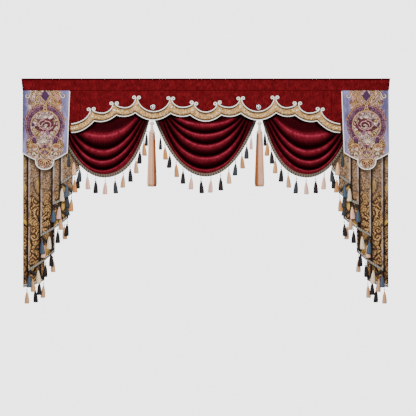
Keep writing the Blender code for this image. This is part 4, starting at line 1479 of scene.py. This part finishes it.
def satin_paint(start):
    """Lavender satin. The field of the medallion is woven in mauve and beige threads."""
    place = room_place(start)
    u = PANEL_LOBE_X * -MM - abs(place.part(0))
    drop = 0 - place.part(2)
    weave = place.noise(900, 2, (0.35, 1, 1))
    # Soft upright bands of painted light and painted shade that stand in for folds.
    fold = place.noise(18, 3, (1, 1, 0.25))
    colour = fold.colours((0.36, (0.070, 0.058, 0.150)), (0.62, (0.215, 0.190, 0.400)))
    wisp = place.noise(70, 3, (1, 1, 0.3), 0.7)
    colour = (wisp.ramp(0.56, 0.66) * 0.35).mix(colour, (0.42, 0.38, 0.50))
    colour = (wisp.ramp(0.44, 0.36) * 0.5).mix(colour, (0.060, 0.045, 0.100))
    stitch = place.noise(95, 4, (1, 1, 0.8), 0.75)
    field = stitch.colours((0.38, (0.040, 0.015, 0.020)), (0.46, (0.170, 0.085, 0.070)),
                           (0.54, (0.34, 0.200, 0.155)), (0.62, (0.80, 0.58, 0.46)))
    warm = u.ramp(0.015, 0.07) * drop.ramp(0.21, 0.15) * 0.65
    field = warm.mix(field, (0.36, 0.135, 0.065))
    wreath = ((u / WOVEN_RADII[0]) ** 2 + ((drop - WREATH_DROP * MM) / WOVEN_RADII[1]) ** 2) ** 0.5
    column = (abs(u) - 0.062 - place.noise(20, 2) * 0.05) * 30
    lower = (abs(u) - (0.52 - drop) * 0.8 - 0.030 - place.noise(24, 2) * 0.02).most(
        abs(u) - 0.100) * 30
    inside = wreath.ramp(1.06, 0.98)
    inside = inside.most(column.ramp(0.6, 0.0) * drop.ramp(0.30, 0.26))
    inside = inside.most(lower.ramp(0.6, 0.0) * drop.ramp(0.33, 0.36))
    colour = inside.mix(colour, field)
    ring = wreath.ramp(0.70, 0.74) * wreath.ramp(1.0, 0.94) * drop.ramp(0.375, 0.36)
    plum = stitch.colours((0.38, (0.045, 0.016, 0.055)), (0.62, (0.24, 0.11, 0.16)))
    colour = (ring * 0.85).mix(colour, plum)
    heart = stitch.colours((0.38, (0.075, 0.038, 0.040)), (0.50, (0.29, 0.170, 0.145)),
                           (0.62, (0.80, 0.60, 0.52)))
    colour = wreath.ramp(0.70, 0.62).mix(colour, heart)
    return colour, 0.36 + weave * 0.15, weave * 0.0002 + stitch * 0.0002


def plain_paint(colour, roughness):
    def paint(start):
        return (*colour, 1), roughness, None
    return paint


def make_finishes():
    """The materials by name. Each one has its paint and the numbers of its shader."""
    velvet = {"Sheen Tint": (0.50, 0.03, 0.06, 1), "Sheen Roughness": 0.4,
              "Specular IOR Level": 0.0}
    return {name: material(name, paint, numbers) for name, paint, numbers in (
        ("header_velvet", flat_velvet_paint, {**velvet, "Sheen Weight": 0.12}),
        ("pelmet_velvet", flat_velvet_paint, {**velvet, "Sheen Weight": 0.12}),
        ("swag_velvet", swag_velvet_paint, {**velvet, "Sheen Weight": 0.06}),
        ("brocade", brocade_paint, {"Specular IOR Level": 0.12}),
        ("ivory_cord", cord_paint, {"Specular IOR Level": 0.6, "Sheen Weight": 0.6,
                                    "Sheen Roughness": 0.3}),
        ("satin", satin_paint, {"Specular IOR Level": 0.2}),
        ("jacquard", jacquard_paint, {"Specular IOR Level": 0.08}),
        ("thread", thread_paint, {"Specular IOR Level": 0.12}),
        ("braid", braid_paint, {"Specular IOR Level": 0.2}),
        ("pearl", plain_paint((0.93, 0.88, 0.80), 0.22), {"Coat Weight": 0.4}),
        ("silver", plain_paint((0.42, 0.43, 0.44), 0.22), {"Metallic": 1.0}),
    )}


FINISHES = make_finishes()


# -------- pieces

def header_section():
    """Out and drop along the folded strip, from the back foot over the top to the front."""
    inner = HEADER_CLOTH / 2
    corner = inner + HEADER_BEND
    section = [(inner, between(HEADER_HEIGHT, corner, share)) for share in steps(8)]
    for centre, start in ((corner, math.pi), (HEADER_DEPTH - inner - HEADER_BEND, 1.5 * math.pi)):
        for share in steps(7):
            angle = start + math.pi / 2 * share
            section.append((centre + HEADER_BEND * math.cos(angle),
                            corner + HEADER_BEND * math.sin(angle)))
    section += [(HEADER_DEPTH - inner, between(corner, HEADER_HEIGHT, share))
                for share in steps(12)[1:]]
    return section


def make_header():
    """A folded strip, slack in its front, with painted shade along its top and its ends."""
    def place(section, share):
        out, drop = section
        half = between(HEADER_HALF_TOP, HEADER_HALF_FOOT, drop / HEADER_HEIGHT)
        x = between(-half, half, share)
        slack = smooth(10, 45, drop) * smooth(HEADER_HEIGHT, 50, drop) * (out > HEADER_DEPTH / 2)
        forward = slack * (0.7 + 0.7 * unevenness(x, drop, 140))
        # Painted shade at both ends, and along the top fold below.
        painted_end_shade = 0.7 * smooth(16, 2, half * (1 - abs(2 * share - 1)))
        return point(x, out + forward, drop), max(0.95 * smooth(17, 5, drop), painted_end_shade)

    lines, painted_shadings = lay_out(header_section(), steps(HEADER_COLUMNS), place)
    return sheet("header", lines, HEADER_CLOTH, "header_velvet", painted_shadings)


def make_pelmet():
    """A flat velvet field with an upright seam at each end. It swells below the header and
    above the band."""
    band = band_columns()

    def place(share, x):
        drop = between(TUCK_DROP, lower_edge(x) - 2, share)
        above_band = upper_edge(x, band) - drop
        # seam marks the groove of each seam, where the swell dips and painted shade is laid;
        # shadow is a painted shadow just above the band.
        seam = math.exp(-((abs(x) - SEAM_X) / 3) ** 2)
        swell = smooth(4, 26, above_band) * (0.8 + 0.8 * unevenness(x, drop, 90))
        swell = max(swell * (1 - 0.9 * seam), 1.9 * smooth(45, 66, drop) * smooth(94, 78, drop))
        shadow = smooth(14, 3, above_band) if abs(x) < BAND_HALF else 0
        return point(x, PELMET_OUT + swell, drop), 0.55 * max(seam, shadow)

    columns = both_halves(cusp_places(25) + [aside - SEAM_X for aside in range(-6, 7, 2)])
    lines, painted_shadings = lay_out(steps(40), columns, place)
    return sheet("pelmet", lines, CLOTH, "pelmet_velvet", painted_shadings)


def make_band():
    """A domed strip between its two scalloped edges, shaded along its cords."""
    def place(share, column):
        x, upper = column
        lower = lower_edge(x)
        crown = BAND_CROWN * (1 - (2 * share - 1) ** 4) ** 0.5
        out = BAND_OUT + crown * smooth(0, 30, BAND_HALF - abs(x))
        # Painted shadow along both cords, fading towards the band's middle.
        from_cord = min(share, 1 - share) * (lower - upper)
        return point(x, out, between(upper, lower, share)), math.exp(-max(0, from_cord - 6) / 7)

    lines, painted_shadings = lay_out(steps(13), band_columns(), place)
    return sheet("gold_band", lines, CLOTH, "brocade", painted_shadings)


def make_pearls():
    """Pearls sewn on the band, below each pair of scrolls."""
    bm = bmesh.new()
    face = BAND_OUT + CLOTH / 2 + 1 + PEARL_RADIUS * 0.7
    ball = [(PEARL_RADIUS * math.sin(math.pi * share), -PEARL_RADIUS * math.cos(math.pi * share))
            for share in steps(11)]
    for x, drop in PEARLS:
        for side in (-1, 1):
            turned(bm, ball, 20, Matrix.Translation(point(side * x, face, drop)))
    return finish_piece("band_pearls", bm, ["pearl"])


def make_rope(name, path):
    """A twisted ivory cord along a path."""
    bm = bmesh.new()
    tube(bm, path, CORD_RADIUS, sides=12, lobes=3, pitch=CORD_PITCH)
    return finish_piece(name, bm, ["ivory_cord"], [name])


def make_band_cords():
    """A cord on each U of the band's upper edge, and the piping along its lower edge."""
    left = [scallop_cord(scallop) for scallop in (END_SCALLOP, *SCALLOPS)]
    right = [mirrored(path) for path in reversed(left)]
    for number, path in enumerate(left + [scallop_cord(MIDDLE_SCALLOP)] + right, 1):
        make_rope(f"scroll_cord_{number:02d}", path)
    places = both_halves([-CORD_HALF] + [x for x in cusp_places(31) if x >= -CORD_HALF])
    path = [point(x, CORD_OUT, lower_edge(x)) for x in places]
    make_rope("lower_piping", even_steps(path, CORD_STEP))


def make_studs():
    """A domed stud with a beaded rim."""
    profile = [(0, -9), (4, -8.6), (7.5, -7.2), (9.6, -5.0), (10.2, -3.2), (11.6, -3.0),
               (13.4, -3.6), (14.6, -2.6), (15.0, 0), (0, 0)]

    def beaded(turn, share):
        rim = smooth(0.55, 0.75, share)
        return 1 + 0.035 * rim * math.cos(2 * math.pi * 24 * turn)

    for name, side in (("stud_left", -1), ("stud_right", 1)):
        bm = bmesh.new()
        place = Matrix.Translation(point(side * STUD_X, STUD_OUT, STUD_DROP))
        turned(bm, profile, 96, place @ Matrix.Rotation(math.radians(90), 4, "X"), ripple=beaded)
        finish_piece(name, bm, ["silver"], [name])


def make_swag(name, flat, ridges, flip=False):
    lines, painted_shadings = swag_lines(flat, ridges)
    return sheet(f"swag_{name}", lines, CLOTH, "swag_velvet", painted_shadings, flip)


def braid_dyes_and_shade(path, dye):
    """Dyes along a swag's braid, with painted shade, nearly black, where its ends gather under the
    band.
    """
    runs = run_lengths(path)
    return [between(BRAID_DARK, dye, smooth(0.03, 0.17, min(run, runs[-1] - run) / runs[-1]))
            for run in runs]


def make_swag_fringe(name, hem, foot, hung, flip=False):
    """The braid of a swag, with a cord along each edge, and the tassels that hang from it."""
    bm = bmesh.new()
    hang_small_tassels(bm, hung)
    # The braid and its cords darken to painted shade at their ends. The upper cord is a lighter
    # copy of the braid, a painted highlight, and the lower one near black, painted shade.
    upper = braid_line(hem, foot, 0.04)
    ribbon(bm, upper, braid_line(hem, foot, 0.99), 2.2, braid_dyes_and_shade(upper, BRAID_DYE))
    for share, dye, size in ((0.03, BRAID_PAINTED_HIGHLIGHT, 1.5), (0.9, BRAID_DARK, 1.8)):
        path = even_steps(braid_line(hem, foot, share, 1.4), 2.2)
        tube(bm, path, size, braid_dyes_and_shade(path, dye), sides=6, lobes=2, pitch=9)
    piece = f"swag_fringe_{name}"
    return finish_piece(piece, bm, ["thread", "braid"], [piece], flip)


def make_tail(name, hung, flip=False):
    """A folded tail, its braid and its tassels. The braid is dark where the cloth's back shows."""
    lines = tail_lines(steps(64), lambda hem: TUCK_DROP, lambda hem: hem - TAIL_BRAID)
    # Painted shade beside each fold and a painted highlight along it, the same all down the tail.
    shade = [tail_shade(layer, x) for layer, x, hem in tail_columns()]
    tail = sheet(f"tail_{name}", lines, TAIL_CLOTH, "jacquard",
                 [shade] * len(lines), flip)
    bm = bmesh.new()
    hang_small_tassels(bm, hung)
    upper, lower = tail_lines((0.04, 1.0), lambda hem: hem - TAIL_BRAID, lambda hem: hem)
    dyes = [TAIL_BRAID_DYE if round(layer) % 2 else BRAID_DARK
            for layer, x, hem in tail_columns()]
    ribbon(bm, upper, lower, 1.9, dyes)
    piece = f"tail_fringe_{name}"
    return tail, finish_piece(piece, bm, ["thread", "braid"], [piece], flip)


def make_panel(name, flip=False):
    lines = [[panel_point(x, share) for x in panel_places()] for share in steps(50)]
    piping = panel_cord()
    panel = sheet(f"side_panel_{name}", lines, CLOTH, "satin", flip=flip)
    return panel, make_rope(f"panel_piping_{name}", mirrored(piping) if flip else piping)


def make_big_tassel(name, x):
    """A bead, a bound head and a long skirt of silk threads."""
    chance = random.Random(11)
    centre = point(x, BIG_TASSEL_OUT, 0)
    place = Matrix.Translation(centre)
    towards_middle = -1 if x > 0 else 1

    def wound(turn, share):
        return 1 + 0.04 * math.cos(2 * math.pi * 18 * turn)

    def combed(turn, share):
        return 1 + 0.04 * math.cos(2 * math.pi * 20 * turn + 3 * share)

    bm = bmesh.new()
    bead = [(0, 253.5), (2.6, 253.8), (2.6, 259.2), (6.4, 260.0), (10.4, 263.0), (12.6, 267.3),
            (13.0, 271), (12.3, 275), (9.8, 279), (5.8, 282.0), (0, 283)]
    turned(bm, bead, 54, place, HEAD_CREAM, wound)
    finish_piece(f"tassel_bead_{name}", bm, ["thread"], [f"tassel_bead_{name}"])

    bm = bmesh.new()
    head = [(0, 283.4), (6.6, 284), (8.2, 287), (7.4, 291), (8.2, 300), (9.6, 308), (12.2, 315),
            (15.8, 321), (17.8, 326), (17.4, 331), (15, 333), (0, 334)]
    dyes = [between(HEAD_CREAM, DYES["rose"], smooth(296, 326, drop)) for _, drop in head]
    turned(bm, head, 72, place, dyes, wound)
    for drop, radius in ((288, 8.0), (326, 17.8)):
        ring = [centre + round_point(radius, 2 * math.pi * k / 40, drop) for k in range(41)]
        tube(bm, ring, 1.7, HEAD_CREAM, sides=6, lobes=2, pitch=6)
    skirt = [(0, 328), (14.0, 329), (16.5, 336), (18.0, 360), (20.0, 410), (22.0, 480),
             (24.0, 550), (25.6, 610), (26.2, 632), (25.0, 642), (21.0, 647), (13.0, 648.5),
             (0, 647)]
    turned(bm, skirt, 60, place, DYES["blush"], combed)
    for k in range(SKIRT_THREADS):
        angle = 2 * math.pi * (k + 0.6 * chance.random()) / SKIRT_THREADS
        # Threads on the side towards the middle darken to a darker brown: painted shade.
        warm = smooth(0.05, 0.65, math.cos(angle) * towards_middle + chance.uniform(-0.2, 0.2))
        pale = between(DYES["blush"], DYES["cream"], 0.55 * chance.random())
        dye = between(pale, DYES["orange_shade"], warm)
        lean = chance.uniform(-0.05, 0.05)
        end = chance.uniform(640, 648.5)
        path = [centre + round_point(radius, angle + lean * turn, drop)
                for radius, drop, turn in ((14.5, 329, 0), (17.2, 338, 0), (19.4, 376, 0.3),
                                           (21.4, 440, 0.6), (24.2, 520, 0.8), (26.6, 590, 1),
                                           (27.6, 628, 1), (24.5, end, 1))]
        tube(bm, path, lambda share: between(0.9, 1.5, share), dye, sides=5)
    finish_piece(f"big_tassel_{name}", bm, ["thread"], [f"big_tassel_{name}"])


# -------- studio

def make_floor():
    """A pale round floor, at the height of a room's floor under a valance."""
    bm = bmesh.new()
    bmesh.ops.create_circle(bm, cap_ends=True, segments=96, radius=FLOOR_RADIUS)
    bmesh.ops.translate(bm, verts=bm.verts, vec=(0, 0, FLOOR_Z))
    mesh = mesh_from("floor", bm)
    mesh.materials.append(material("pale_floor", plain_paint((0.86, 0.86, 0.86), 0.8), {}))
    floor = add_object("floor", mesh)


def add_light(name, place, target, width, height, power):
    lamp = bpy.data.lights.new(name, "AREA")
    lamp.shape = "RECTANGLE"
    lamp.size = width
    lamp.size_y = height
    lamp.energy = power
    made = add_object(name, lamp)
    made.location = place
    made.rotation_euler = (Vector(target) - Vector(place)).to_track_quat("-Z", "Y").to_euler()


def make_studio():
    add_light("key", (-0.4, -3.6, 1.6), (0, 0, -0.5), 2.4, 1.6, KEY_POWER)
    add_light("fill", (0.6, -4.0, -0.6), (0, 0, -0.7), 3.0, 2.0, FILL_POWER)
    world = bpy.data.worlds.new("studio")
    bpy.context.scene.world = world
    world.use_nodes = True
    start = Wire(world.node_tree)
    seen = start.node("ShaderNodeLightPath", output="Is Camera Ray")
    strength = seen * (SKY_SEEN - SKY_LIGHT) + SKY_LIGHT
    background = world.node_tree.nodes["Background"]
    background.inputs["Color"].default_value = (1, 1, 1, 1)
    world.node_tree.links.new(strength.socket, background.inputs["Strength"])


def make_camera():
    """Straight at the drape, level, from far enough that it looks flat."""
    data = bpy.data.cameras.new("camera")
    data.sensor_width = 36
    data.lens = data.sensor_width * CAMERA_DISTANCE / VIEW_WIDTH
    camera = add_object("camera", data)
    camera.location = (VIEW_X, -CAMERA_DISTANCE, VIEW_Z)
    camera.rotation_euler = (math.radians(90), 0, 0)
    bpy.context.scene.camera = camera


def main():
    header = make_header()
    pelmet = make_pelmet()
    band = make_band()
    pearls = make_pearls()
    make_band_cords()
    make_studs()

    side_row = TasselRow()
    tail_hung = tail_tassels(side_row)
    side_hung = swag_tassels(SIDE_RIDGES[-1], SIDE_BRAID, SIDE_DYES, side_row)
    middle_hung = swag_tassels(MIDDLE_RIDGES[-1], MIDDLE_BRAID, MIDDLE_DYES, TasselRow())
    middle = make_swag("middle", MIDDLE_FLAT, MIDDLE_RIDGES)
    fringe = make_swag_fringe("middle", MIDDLE_RIDGES[-1], MIDDLE_BRAID, middle_hung)
    for name, flip in (("left", False), ("right", True)):
        swag = make_swag(name, SIDE_FLAT, SIDE_RIDGES, flip)
        fringe = make_swag_fringe(name, SIDE_RIDGES[-1], SIDE_BRAID, side_hung, flip)
        tail, fringe = make_tail(name, tail_hung, flip)
        panel, cord = make_panel(name, flip)
        medallion = sew_medallion(name, flip)
    make_big_tassel("left", BIG_TASSEL_X)
    make_big_tassel("right", -BIG_TASSEL_X)
    make_floor()
    make_studio()
    make_camera()


main()
